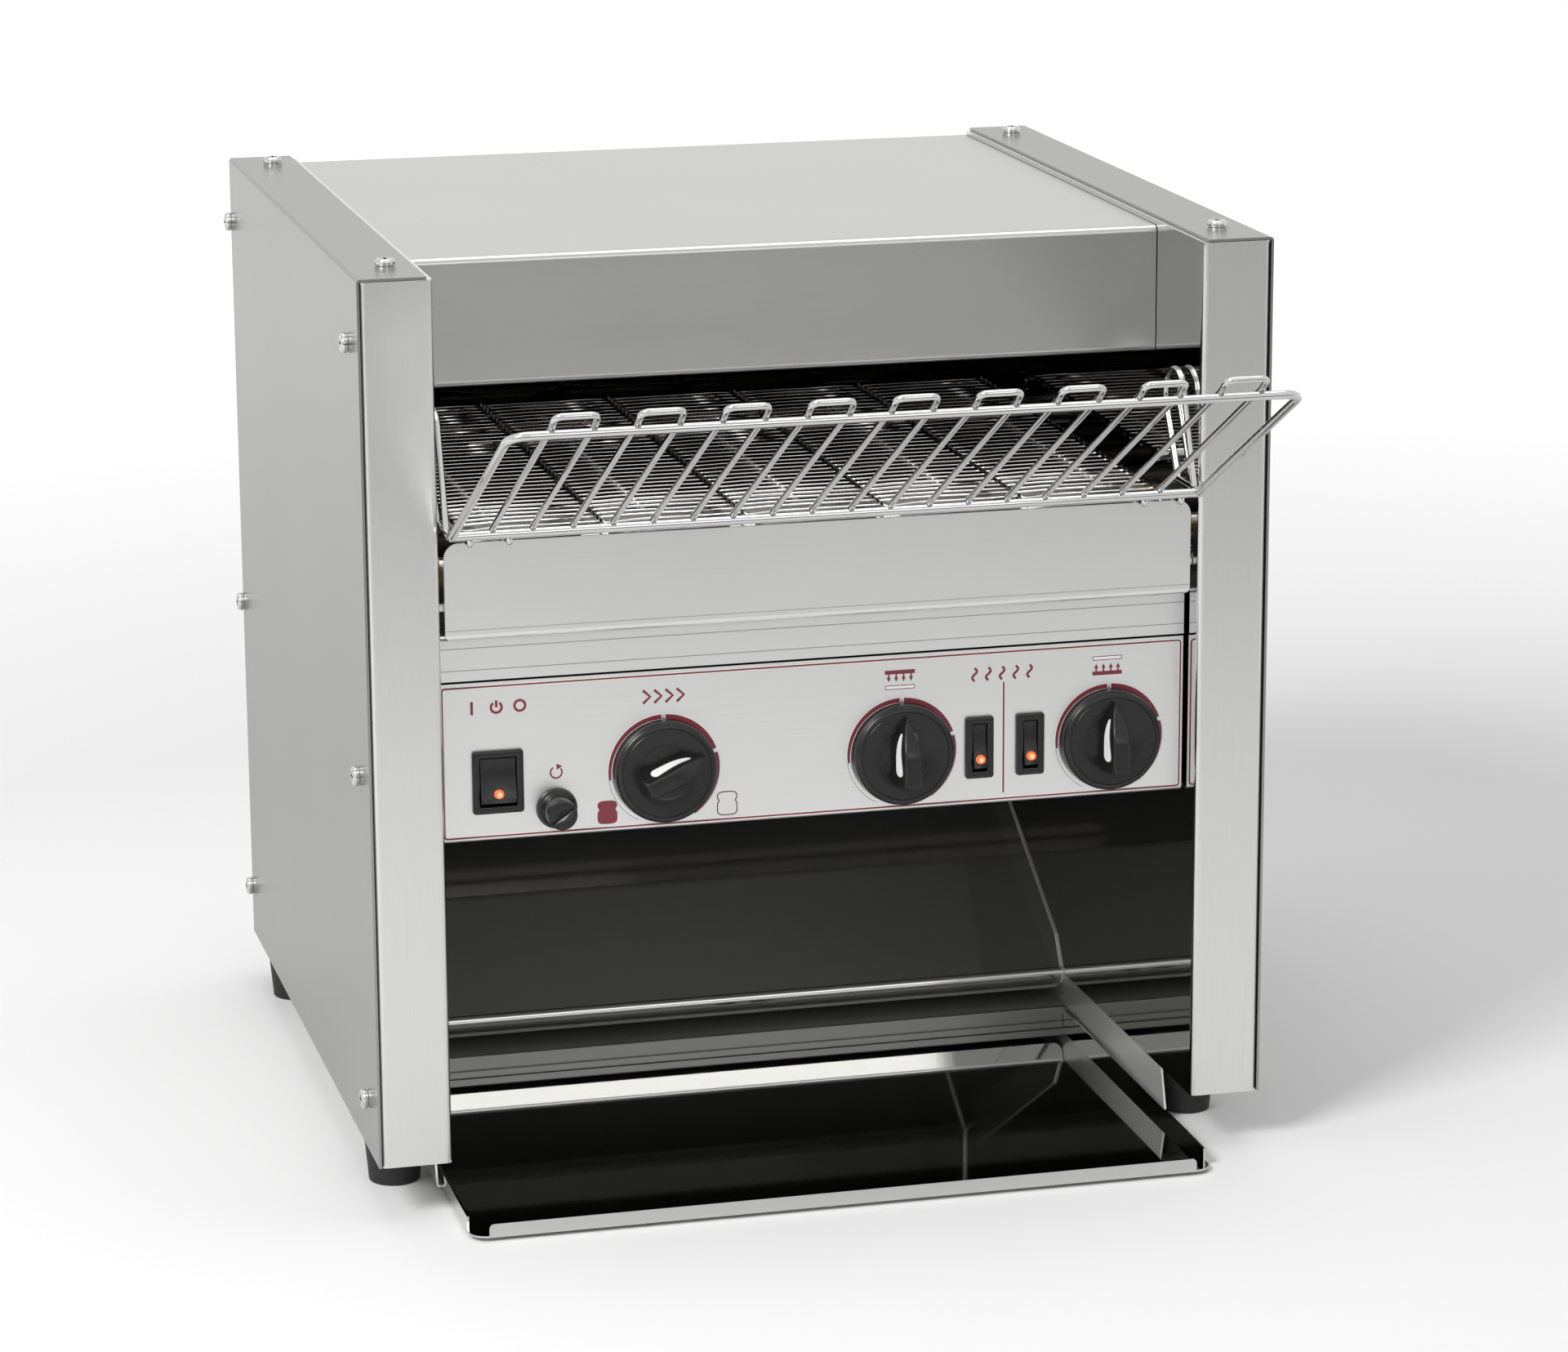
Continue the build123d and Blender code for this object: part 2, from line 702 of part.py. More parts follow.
# ---- control box -----------------------------------------------------------------------
def control_box_lid():
    """Top of the control box with the recessed strip above the fascia."""
    low = box_z + fascia_height + lid_joint
    path = [(lid_setback, low), (lid_setback, lid_z), (box_rear_y - sheet - fit, lid_z)]
    return sheet_x(path, -sheet, box_end_gap - wall_x, wall_x - box_end_gap)


def control_box_floor():
    """Floor with the fan grille, and the rear wall."""
    start = fascia_setback + fascia_return + fit
    path = [(start, box_z), (box_rear_y, box_z), (box_rear_y, lid_z)]
    floor = sheet_x(path, sheet, -wall_x, wall_x)
    slots = []
    for radius in grille_rings:
        for i in range(grille_arcs):
            gap = degrees(grille_bridge / radius)
            turn = 360 / grille_arcs
            arc = CenterArc((0, 0), radius, i * turn + gap / 2, turn - gap)
            slots.append(trace(arc, grille_slot))
    cut = extrude(Pos(fan_x, fan_y, box_z - past) * fused(slots), sheet + 2 * past)
    return floor - cut


def panel_cut(x, z, width, height):
    return block(x - width / 2, x + width / 2, fascia_setback - past, fascia_setback + sheet + past,
                 z - height / 2, z + height / 2)


def switch_places():
    return [(power_switch_x, power_switch_width), (top_heat_switch_x, heat_switch_width),
            (bottom_heat_switch_x, heat_switch_width)]


def knob_places():
    return [speed_knob_x, top_heat_knob_x, bottom_heat_knob_x]


def control_fascia():
    """Front of the control box with its switch and spindle holes."""
    path = [(fascia_setback + fascia_return, box_z), (fascia_setback, box_z),
            (fascia_setback, box_z + fascia_height)]
    fascia = sheet_x(path, -sheet, box_end_gap - wall_x, wall_x - box_end_gap)
    inset = 2 * (switch_body_inset - fit / 2)
    cuts = [panel_cut(x, switch_z, width - inset, switch_height - inset)
            for x, width in switch_places()]
    front, back = fascia_setback - past, fascia_setback + sheet + past
    cuts += [bar_y(x, front, back, control_z, bush_thread_radius + screw_hole_play)
             for x in knob_places()]
    cuts.append(bar_y(reset_x, front, back, reset_z, reset_neck_radius() + screw_hole_play))
    return fascia - fused(cuts)


def switch_body(x, width):
    """Housing of a rocker switch: bezel outside, case behind the fascia, open pocket."""
    face = fascia_setback
    bezel = block(x - width / 2, x + width / 2, face - bezel_proud, face,
                  switch_z - switch_height / 2, switch_z + switch_height / 2)
    bezel = chamfer(bezel.faces().sort_by(Axis.Y)[0].edges(), bezel_chamfer)
    half_w = width / 2 - switch_body_inset
    half_h = switch_height / 2 - switch_body_inset
    case = block(x - half_w, x + half_w, face, face + switch_body_depth,
                 switch_z - half_h, switch_z + half_h)
    pocket_w = width / 2 - bezel_rim
    pocket_h = switch_height / 2 - bezel_rim
    pocket = block(x - pocket_w, x + pocket_w, face - bezel_proud - past,
                   face + switch_body_depth - switch_body_floor,
                   switch_z - pocket_h, switch_z + pocket_h)
    pin_half = pocket_w + rocker_pin_length + fit
    bore = bar_x(x - pin_half, x + pin_half, face - bezel_proud + rocker_pin_depth, switch_z,
                 rocker_pin_radius + running)
    return fused([bezel, case]) - pocket - bore


def rocker_reach():
    """Half length of a rocker that turns inside its pocket."""
    return sqrt((switch_height / 2 - bezel_rim - rocker_play) ** 2 - rocker_front ** 2)


def rocker_at_rest(x):
    """Upper end pressed in: the lower end stands out."""
    return Pos(x, fascia_setback - bezel_proud + rocker_pin_depth, switch_z) * Rot(-rocker_tilt, 0, 0)


def rocker(x, width):
    """Rocker with a hollow front face, turning on its two pins."""
    half = width / 2 - bezel_rim - rocker_play
    reach = rocker_reach()
    narrow = reach * rocker_back_taper
    back = Polyline((-rocker_front, -reach), (rocker_edge, -reach), (rocker_back, -narrow),
                    (rocker_back, narrow), (rocker_edge, reach), (-rocker_front, reach))
    face = ThreePointArc((-rocker_front, reach), (-rocker_front + rocker_dip, 0),
                         (-rocker_front, -reach))
    edges = [*back.edges(), face.edge()]
    blank = extrude(Plane.YZ.offset(-half) * make_face(edges), 2 * half)
    pin_half = half + rocker_play + rocker_pin_length
    pins = bar_x(-pin_half, pin_half, 0, 0, rocker_pin_radius)
    lamp_hole = bar_y(0, -rocker_front - past, rocker_edge, -reach * lamp_place, lamp_radius)
    return rocker_at_rest(x) * (fused([blank, pins]) - lamp_hole)


def rocker_lamp(x):
    """Lamp lens set in the lower end of a rocker."""
    lens = bar_y(0, -rocker_front + lamp_sink, rocker_edge, -rocker_reach() * lamp_place,
                 lamp_radius - running)
    lens = fillet(lens.edges().sort_by(Axis.Y)[0], lamp_edge)
    return rocker_at_rest(x) * lens


def knob(x, turn):
    """Round skirt with a fin-shaped pointer grip, blind bore for the spindle."""
    skirt = Cone(knob_radius, knob_radius - knob_skirt_draft, knob_skirt)
    skirt = Pos(0, 0, knob_standoff + knob_skirt / 2) * skirt
    skirt = fillet(skirt.edges().sort_by(Axis.Z)[-1], knob_edge)
    half = knob_grip_width / 2
    low = knob_standoff + knob_skirt - knob_grip_root
    high = knob_standoff + knob_skirt + knob_grip_height
    swell = (half * knob_side_swell, knob_tip / 2)
    side = ThreePointArc((half, 0), swell, (0, knob_tip))
    other = ThreePointArc((0, knob_tip), (-swell[0], swell[1]), (-half, 0))
    tail = Polyline((-half, 0), (-half, -knob_tail), (half, -knob_tail), (half, 0))
    plan = make_face([side.edge(), other.edge(), *tail.edges()])
    grip = extrude(Plane.XY.offset(low) * plan, high - low, taper=knob_grip_draft)
    tip_y, tail_y = knob_tip + past, -knob_tail - past
    top = Polyline((tip_y, low + knob_tip_height), (knob_tip * knob_ridge, high - knob_ridge_drop),
                   (tail_y, high), (tail_y, low - past), (tip_y, low - past), close=True)
    limit = extrude(Plane.YZ.offset(-half - past) * make_face(top.edges()), 2 * (half + past))
    bore = bar_z(0, 0, 0, knob_standoff + spindle_in_knob + fit, spindle_radius + running)
    body = fused([skirt, grip & limit]) - bore
    return Pos(x, fascia_setback, control_z) * Rot(0, turn, 0) * Rot(90, 0, 0) * body


def spindle(x):
    return bar_y(x, fascia_setback - knob_standoff - spindle_in_knob,
                 fascia_setback + sheet + spindle_in_regulator, control_z, spindle_radius)


def regulator(x):
    """Control body behind the fascia, with its threaded bush through the panel."""
    back = fascia_setback + sheet
    half = regulator_size / 2
    body = block(x - half, x + half, back, back + regulator_depth, control_z - half, control_z + half)
    bush = bar_y(x, fascia_setback - bush_proud, back + past, control_z, bush_thread_radius)
    bore = bar_y(x, fascia_setback - bush_proud - past, back + spindle_in_regulator + fit,
                 control_z, spindle_radius + running)
    return fused([body, bush]) - bore


def reset_neck_radius():
    return reset_cap_radius - reset_cap_wall - running


def safety_thermostat():
    """Cut-out thermostat with the threaded neck that carries the cap."""
    back = fascia_setback + sheet
    half = thermostat_size / 2
    body = block(reset_x - half, reset_x + half, back, back + thermostat_depth,
                 box_z + sheet + bend, box_z + sheet + bend + thermostat_size)
    neck = bar_y(reset_x, fascia_setback - reset_neck_proud, back + past, reset_z,
                 reset_neck_radius())
    bore = bar_y(reset_x, fascia_setback - reset_neck_proud - past, back + reset_bore_depth,
                 reset_z, reset_pin_radius + running)
    return fused([body, neck]) - bore


def reset_pin():
    return bar_y(reset_x, fascia_setback - reset_pin_proud,
                 fascia_setback + sheet + reset_pin_inside, reset_z, reset_pin_radius)


def reset_cap():
    """Screw cap over the reset pin, slotted for a coin."""
    front = fascia_setback - reset_ring - reset_cap_length
    ring = bar_y(reset_x, fascia_setback - reset_ring, fascia_setback, reset_z, reset_ring_radius)
    ring = fillet(ring.edges().sort_by(Axis.Y)[0], reset_ring_edge)
    cap = bar_y(reset_x, front, fascia_setback, reset_z, reset_cap_radius)
    cap = fillet(cap.edges().sort_by(Axis.Y)[0], reset_cap_edge)
    hollow = bar_y(reset_x, front + reset_slot_depth + reset_cap_wall, fascia_setback + past,
                   reset_z, reset_cap_radius - reset_cap_wall)
    slot = Box(2 * (reset_cap_radius - reset_cap_edge), 2 * reset_slot_depth, reset_slot_width)
    slot = Pos(reset_x, front, reset_z) * Rot(0, -reset_slot_turn, 0) * slot
    return fused([ring, cap]) - hollow - slot


# ---- belt ------------------------------------------------------------------------------
def racetrack(radius):
    """Outline of the belt at a distance from the two shaft axes, in (y, z)."""
    length = rear_shaft_y - front_shaft_y
    return Pos((front_shaft_y + rear_shaft_y) / 2, shaft_z) * SlotCenterToCenter(length, 2 * radius)


def belt_points():
    """Places of the cross wires along the loop, evenly spaced."""
    straight = rear_shaft_y - front_shaft_y
    turn = radians(180) * belt_turn_radius
    radius = belt_turn_radius
    count = round(2 * (straight + turn) / belt_pitch)
    points = []
    for i in range(count):
        s = (i + 0.5) * 2 * (straight + turn) / count
        if s < straight:
            points.append((front_shaft_y + s, shaft_z + radius))
        elif s < straight + turn:
            a = (s - straight) / radius
            points.append((rear_shaft_y + radius * sin(a), shaft_z + radius * cos(a)))
        elif s < 2 * straight + turn:
            points.append((rear_shaft_y - (s - straight - turn), shaft_z - radius))
        else:
            a = (s - 2 * straight - turn) / radius
            points.append((front_shaft_y - radius * sin(a), shaft_z - radius * cos(a)))
    return points


def conveyor_belt():
    """Cross wires joined by link strips, as one endless mat round the two shafts."""
    half = belt_half_width
    ring = racetrack(belt_turn_radius + belt_strip / 2) - racetrack(belt_turn_radius - belt_strip / 2)
    strips = []
    for i in range(belt_strips):
        x = -half + belt_strip_width / 2 + i * (2 * half - belt_strip_width) / (belt_strips - 1)
        strips.append(extrude(Plane.YZ.offset(x - belt_strip_width / 2) * ring, belt_strip_width))
    wires = [bar_x(-half, half, y, z, belt_wire / 2) for y, z in belt_points()]
    return fused(strips + wires)


def shaft(y, right_end):
    return bar_x(-wall_x - shaft_overhang, right_end, y, shaft_z, shaft_radius)


def rollers(y):
    """Rollers keyed on a shaft, inside the belt's turn."""
    radius = belt_turn_radius - belt_wire / 2 - roller_flat
    solids = []
    for place_x in roller_places:
        for x in (-place_x, place_x):
            roller = bar_x(x - roller_width / 2, x + roller_width / 2, y, shaft_z, radius)
            solids.append(roller - bar_x(x - roller_width, x + roller_width, y, shaft_z,
                                         shaft_radius + roller_bore_play))
    return solids


def shaft_bushes():
    """Flanged bushes in the inner walls, two for each shaft."""
    solids = []
    for y in (front_shaft_y, rear_shaft_y):
        outer = shaft_radius + running + bush_wall
        end = wall_x + sheet + bush_flange
        tube = bar_x(end - bush_length, end, y, shaft_z, outer)
        flange = bar_x(wall_x + sheet, end, y, shaft_z, bush_flange_radius)
        bore = bar_x(end - bush_length - past, end + past, y, shaft_z, shaft_radius + running)
        bush = fused([tube, flange]) - bore
        solids += [bush, mirrored(bush)]
    return solids


def belt_support():
    """Two cross bars between the walls and the rods that carry the upper run."""
    low = belt_z - belt_wire / 2 - fit - 2 * support_rod_radius
    bars = []
    half = support_bar_width / 2
    for y in (front_shaft_y + support_bar_from_shaft, rear_shaft_y - support_bar_from_shaft):
        bars.append(block(-wall_x, wall_x, y - half, y + half,
                          low - support_bar_height + rack_weld, low + rack_weld))
    rods = []
    span = 2 * (belt_half_width - support_rod_inset)
    y0, y1 = front_shaft_y + support_from_shaft, rear_shaft_y - support_from_shaft
    for i in range(support_rods):
        x = (i / (support_rods - 1) - 0.5) * span
        rods.append(bar_y(x, y0, y1, low + support_rod_radius, support_rod_radius))
    return fused(bars + rods)


def belt_front_guard():
    """Plate in front of the belt, with rounded corners, a turned-in lip, side flanges and screws."""
    half = wall_x - guard_wall_gap
    low, high = guard_low, guard_high
    path = [(guard_setback + guard_lip, low), (guard_setback, low), (guard_setback, high)]
    plate = sheet_x(path, -sheet, -half, half)
    corners = [e for e in plate.edges().filter_by(Axis.Y) if e.center().Z > high - sheet]
    plate = fillet(corners, guard_corner)
    outline = Pos(0, (low + high) / 2) * RectangleRounded(2 * half, high - low, guard_foot_corner)
    back = guard_setback + guard_lip + past
    plate = plate & extrude(Plane.XZ.offset(-back) * outline, guard_lip + 2 * past)
    peg = bar_x(half - sheet / 2, wall_x - fit, guard_setback + guard_side_flange / 2,
                low + guard_peg_rise, guard_peg_radius)
    flange = block(half - sheet, half, guard_setback + sheet / 2, guard_setback + guard_side_flange,
                   low + guard_flange_rise, high - guard_corner - guard_flange_gap)
    return fused([plate, flange, mirrored(flange), peg, mirrored(peg)])


# ---- bread rack ------------------------------------------------------------------------
def bread_rack():
    """Sloping wire rack: frame, hairpin bars hooked over the top bar, side loops, hangers."""
    low = (rack_bottom_y, belt_z + rack_bottom_rise)
    high = (rack_top_y, belt_z + rack_top_rise)
    half = rack_half_width
    frame = wire([(-half, *low), (-half, *high), (half, *high), (half, *low)],
                 rack_corner, rack_frame_radius)
    bottom = bar_x(-half - rack_side_play, half + rack_side_play, *low, rack_rod_radius)
    run = hypot(high[0] - low[0], high[1] - low[1])
    along = ((high[0] - low[0]) / run, (high[1] - low[1]) / run)
    under = (-along[1], along[0])
    gap = rack_frame_radius + rack_wire_radius - rack_weld
    foot = (low[0] - under[0] * gap * rack_foot_lead, low[1] - under[1] * gap)
    knee = (high[0] - under[0] * gap + along[0] * rack_knee_past,
            high[1] - under[1] * gap + along[1] * rack_knee_past)
    tip = (high[0] - rack_hook_reach, high[1] + rack_hook_rise)
    step = 2 * half / (rack_uprights - 1)
    pieces = [frame, bottom]
    for i in range(1, rack_uprights - 1, 2):
        x0 = -half + i * step
        x1 = x0 + step
        corners = [(x0, *foot), (x0, *knee), (x0, *tip), (x1, *tip), (x1, *knee), (x1, *foot)]
        pieces.append(wire(corners, rack_pin_bend, rack_wire_radius))
    side_x = half + rack_side_play - rack_loop_inset
    corners = [(rack_loop_foot_front, low[1]), (rack_loop_front, belt_z + rack_loop_front_rise),
               (rack_loop_rear, belt_z + rack_loop_rear_rise), (rack_loop_foot_rear, low[1])]
    loop = wire([(side_x, *corner) for corner in corners], rack_loop_bend, rack_wire_radius)
    stay = bar_y(side_x, low[0], rack_loop_foot_rear + rack_stay_radius, low[1], rack_stay_radius)
    seat = guard_high + fit + rack_hanger_radius
    for x in [half - inset for inset in rack_hanger_insets]:
        back = guard_setback + sheet + rack_hanger_radius + rack_hanger_play
        corners = [(x, *low), (x, low[0], seat), (x, back, seat), (x, back, seat - rack_hanger_drop)]
        hook = wire(corners, rack_hanger_bend, rack_hanger_radius)
        pieces += [hook, mirrored(hook)]
    pieces += [loop, mirrored(loop), stay, mirrored(stay)]
    return fused(pieces)


def rack_pegs():
    peg = bar_x(wall_x - peg_length, wall_x, peg_y, belt_z + peg_rise, peg_radius)
    return [peg, mirrored(peg)]


# ---- heating ---------------------------------------------------------------------------
def heaters(row):
    end = wall_x + sheet + holder_length - heater_end_play
    return [bar_x(-end, end, y, z, heater_radius) for y, z in row]


def heater_holders():
    """Ceramic blocks outside the inner walls that hold the tube ends."""
    solids = []
    start = wall_x + sheet
    for row in heater_rows():
        for y, z in row:
            half = holder_size / 2
            holder = block(start, start + holder_length, y - half, y + half, z - half, z + half)
            holder = holder - bar_x(start - past, start + holder_length - heater_end_play, y, z,
                                    heater_radius + running)
            solids += [holder, mirrored(holder)]
    return solids


def top_reflector():
    """Roof of the heating chamber, turned down at the front and behind the belt."""
    z = roof_z - top_reflector_below_roof
    front = hood_setback + top_reflector_setback
    rear = rear_face_y - sheet - chute_rear_gap
    path = [(front, z - top_reflector_apron), (front, z), (rear, z), (rear, chute_high + fit)]
    return sheet_x(path, -thin_sheet, -wall_x, wall_x)


def bottom_reflector():
    """Flat tray under the lower tubes, with flanges welded to the walls."""
    z = bottom_heater_z - bottom_reflector_gap
    y0 = front_shaft_y + support_from_shaft
    y1 = rear_shaft_y - support_from_shaft
    path = [(-wall_x, z + reflector_flange), (-wall_x, z), (wall_x, z), (wall_x, z + reflector_flange)]
    return sheet_y(path, thin_sheet, y0, y1, reflector_bend)


# ---- drive -----------------------------------------------------------------------------
def gearmotor():
    """Gearbox against the right inner wall, with its motor."""
    inner = wall_x - gearbox_length
    body = block(inner, wall_x, motor_y - gearbox_depth / 2, motor_y + gearbox_depth / 2,
                 motor_z - gearbox_height / 2, motor_z + gearbox_height / 2)
    motor = bar_x(inner - motor_length, inner + past, motor_y, motor_z, motor_radius)
    bore = bar_x(wall_x - motor_shaft_inside - past, wall_x + past, motor_y, motor_z,
                 motor_shaft_radius + running)
    return fused([body, motor]) - bore


def motor_shaft():
    return bar_x(wall_x - motor_shaft_inside, shaft_end_x, motor_y, motor_z, motor_shaft_radius)


def sprocket(y, z, bore):
    """Chain wheel with its hub."""
    half = chain_width / 2
    wheel = bar_x(sprocket_x - half, sprocket_x + half, y, z, chain_pitch_radius - chain_inner - fit)
    start = sprocket_x - half - sprocket_hub
    hub = bar_x(start, sprocket_x + half, y, z, sprocket_hub_radius)
    hole = bar_x(start - past, sprocket_x + half + past, y, z, bore + roller_bore_play)
    return fused([wheel, hub]) - hole


def drive_chain():
    """Endless chain round the two sprockets, as a closed band."""
    centres = [(motor_y, motor_z), (rear_shaft_y, shaft_z)]
    outline = round_both(centres, chain_pitch_radius + chain_outer)
    outline = outline - round_both(centres, chain_pitch_radius - chain_inner)
    return extrude(Plane.YZ.offset(sprocket_x - chain_width / 2) * outline, chain_width)


def round_both(centres, radius):
    circles = [Pos(*centre) * Circle(radius) for centre in centres]
    return make_hull([edge for circle in circles for edge in circle.edges()])


def fan_frame():
    """Square cooling fan frame over the grille, with the spider that carries the rotor."""
    low = box_z + sheet
    half = fan_size / 2
    body = block(fan_x - half, fan_x + half, fan_y - half, fan_y + half, low, low + fan_depth)
    top = low + fan_depth
    body = body - bar_z(fan_x, fan_y, low - past, top + past, fan_bore_radius)
    hub = bar_z(fan_x, fan_y, top - fan_spider, top, fan_hub_radius)
    reach = half - fan_arm_root
    arm = block(-reach, reach, -fan_arm_width / 2, fan_arm_width / 2, top - fan_spider, top)
    arms = [Pos(fan_x, fan_y) * Rot(0, 0, turn) * arm for turn in (0, 90)]
    pin = bar_z(fan_x, fan_y, low + fan_pin_start, top, fan_pin_radius)
    return fused([body, hub, pin, *arms])


def fan_rotor():
    low = box_z + sheet
    high = low + fan_depth - fan_spider - fit
    start = low + fan_rotor_start
    hub = bar_z(fan_x, fan_y, start, high, fan_hub_radius)
    ring = Cylinder(fan_bore_radius - fan_tip_gap, high - start - fan_blade_play)
    blade = Rot(fan_blade_pitch, 0, 0) * Box(fan_blade_length, fan_blade_chord, fan_blade)
    blade = Pos(fan_hub_radius - fan_blade_root + fan_blade_length / 2, 0, 0) * blade
    blades = []
    for i in range(fan_blades):
        turned = (Rot(0, 0, i * 360 / fan_blades) * blade) & ring
        blades.append(Pos(fan_x, fan_y, (start + high) / 2) * turned)
    return fused([hub, *blades]) - bar_z(fan_x, fan_y, low, high + past, fan_pin_radius + running)


def terminal_block():
    """Row of screw terminals on the box floor, beside the left wall."""
    low = box_z + sheet
    high = low + terminal_height
    start = -wall_x + terminal_from_wall
    body = block(start, start + terminal_ways * terminal_pitch, terminal_y - terminal_width / 2,
                 terminal_y + terminal_width / 2, low, high)
    wells = [bar_z(start + (i + 0.5) * terminal_pitch, terminal_y, high - terminal_well_depth,
                   high + past, terminal_well) for i in range(terminal_ways)]
    return body - fused(wells)


def cable_gland():
    """Gland in the rear flange of the left tower."""
    x, z = -gland_x(), base + gland_height
    y = case_depth
    start = y - sheet - gland_inside
    body = bar_y(x, start, y + gland_reach, z, gland_radius)
    hexagon = Pos(x, z) * RegularPolygon(gland_nut_radius, 6)
    nut = extrude(Plane.XZ.offset(-y) * hexagon, -gland_nut_length)
    lock = extrude(Plane.XZ.offset(-y + sheet) * hexagon, gland_lock_nut)
    bore = bar_y(x, start - past, y + gland_reach + past, z, gland_bore_radius)
    return fused([body, nut, lock]) - bore


# ---- export ----------------------------------------------------------------------------
def save(name, shape):
    solids = shape if isinstance(shape, list) else [shape]
    placed = [solid for piece in solids for solid in (place * piece).solids()]
    whole = placed[0] if len(placed) == 1 else Compound(children=placed)
    export_step(whole, f"parts/{name}.step")


save("right_side_frame", side_frame(True))
save("left_side_frame", mirrored(side_frame(False)))
cover = side_cover()
save("right_side_cover", cover)
save("left_side_cover", mirrored(cover))
save("top_hood", top_hood())
save("rear_panel", rear_panel())
save("base_plate", base_plate())
save("tray_runners", tray_runners())
save("toast_tray", toast_tray())
save("toast_chute", toast_chute())
save("front_feet", feet(foot_inset_front))
save("rear_feet", feet(case_depth - foot_inset_rear))
save("case_screws", case_screws())
save("control_box_lid", control_box_lid())
save("control_box_floor", control_box_floor())
save("control_fascia", control_fascia())
switch_names = ["power", "top_heat", "bottom_heat"]
for name, (x, width) in zip(switch_names, switch_places()):
    save(f"{name}_switch_body", switch_body(x, width))
    save(f"{name}_rocker", rocker(x, width))
    save(f"{name}_lamp", rocker_lamp(x))
knob_names = ["speed", "top_heat", "bottom_heat"]
for name, x, turn in zip(knob_names, knob_places(), [speed_knob_turn, 0, 0]):
    save(f"{name}_knob", knob(x, turn))
    save(f"{name}_spindle", spindle(x))
save("speed_control", regulator(speed_knob_x))
save("heat_regulators", [regulator(top_heat_knob_x), regulator(bottom_heat_knob_x)])
save("safety_thermostat", safety_thermostat())
save("reset_pin", reset_pin())
save("reset_cap", reset_cap())
save("conveyor_belt", conveyor_belt())
save("front_shaft", shaft(front_shaft_y, wall_x + shaft_overhang))
save("rear_shaft", shaft(rear_shaft_y, shaft_end_x))
save("front_rollers", rollers(front_shaft_y))
save("rear_rollers", rollers(rear_shaft_y))
save("shaft_bushes", shaft_bushes())
save("belt_support", belt_support())
save("belt_front_guard", belt_front_guard())
save("bread_rack", bread_rack())
save("rack_pegs", rack_pegs())
top_row, bottom_row = heater_rows()
save("upper_heaters", heaters(top_row))
save("lower_heaters", heaters(bottom_row))
save("heater_holders", heater_holders())
save("upper_reflector", top_reflector())
save("lower_reflector", bottom_reflector())
save("gearmotor", gearmotor())
save("motor_shaft", motor_shaft())
save("motor_sprocket", sprocket(motor_y, motor_z, motor_shaft_radius))
save("shaft_sprocket", sprocket(rear_shaft_y, shaft_z, shaft_radius))
save("drive_chain", drive_chain())
save("fan_frame", fan_frame())
save("fan_rotor", fan_rotor())
save("terminal_block", terminal_block())
save("cable_gland", cable_gland())
print("origin shift in Y:", round(-middle_y, 3))
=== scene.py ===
import bmesh
import bpy
import math
import numpy as np
from mathutils import Matrix, Vector


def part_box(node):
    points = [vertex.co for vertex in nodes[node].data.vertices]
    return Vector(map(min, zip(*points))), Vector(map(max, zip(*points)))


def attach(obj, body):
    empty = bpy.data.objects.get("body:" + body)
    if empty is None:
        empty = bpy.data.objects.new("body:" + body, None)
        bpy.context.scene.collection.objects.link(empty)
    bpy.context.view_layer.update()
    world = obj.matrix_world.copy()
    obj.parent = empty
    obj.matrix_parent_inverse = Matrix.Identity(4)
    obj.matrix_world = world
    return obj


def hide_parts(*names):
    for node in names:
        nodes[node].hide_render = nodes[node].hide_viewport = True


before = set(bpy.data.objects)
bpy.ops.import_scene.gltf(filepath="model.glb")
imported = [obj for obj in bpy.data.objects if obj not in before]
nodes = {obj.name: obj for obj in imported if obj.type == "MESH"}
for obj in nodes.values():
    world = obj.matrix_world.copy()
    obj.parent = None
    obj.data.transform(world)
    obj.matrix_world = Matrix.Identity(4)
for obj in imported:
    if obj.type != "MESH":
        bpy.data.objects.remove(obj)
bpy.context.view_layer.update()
mm = 0.001


# Lowest and highest corner of a node at rest, in millimetres.
def corners(node):
    low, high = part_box(node)
    return np.array(low) / mm, np.array(high) / mm


# The middle of a node's box, in millimetres.
def middle(node):
    low, high = corners(node)
    return (low + high) / 2


wallX = corners("base_plate")[1][0]        # face of the inner walls
fasciaY = corners("control_fascia")[0][1]  # front of the control panel
print("frame loaded:", len(nodes), "nodes")


# Quads between neighbouring points of a grid; a closed direction wraps round.
def gridFaces(countU, countV, closeU=False, closeV=False):
    u, v = np.meshgrid(np.arange(countU if closeU else countU - 1),
                       np.arange(countV if closeV else countV - 1), indexing="ij")
    u2, v2 = (u + 1) % countU, (v + 1) % countV
    quads = np.stack([u * countV + v, u * countV + v2, u2 * countV + v2, u2 * countV + v], -1)
    return quads.reshape(-1, 4).tolist()


# Vectors divided by their own lengths.
def unit(vectors):
    return vectors / np.linalg.norm(vectors, axis=-1, keepdims=True)


# A shell is (points in millimetres, faces). This one runs through closed outlines of equal count, with
# quads between them and a flat face at each end.
def loftShell(outlines):
    outlines = np.asarray(outlines, float)
    count, size = outlines.shape[:2]
    faces = gridFaces(count, size, closeV=True)
    last = (count - 1) * size
    faces += [list(range(size)), list(range(last, last + size))]
    return outlines.reshape(-1, 3), faces


# A turned shape: (radius, height) points swept round +Z, first and last points closed by a disc.
def turnedShell(profile, steps=96):
    profile = np.asarray(profile, float)[:, :, None]
    angle = np.linspace(0, 2 * np.pi, steps, endpoint=False)
    radius, height = profile[:, 0], profile[:, 1]
    return loftShell(np.stack([radius * np.cos(angle), radius * np.sin(angle),
                               height + 0 * angle], -1))


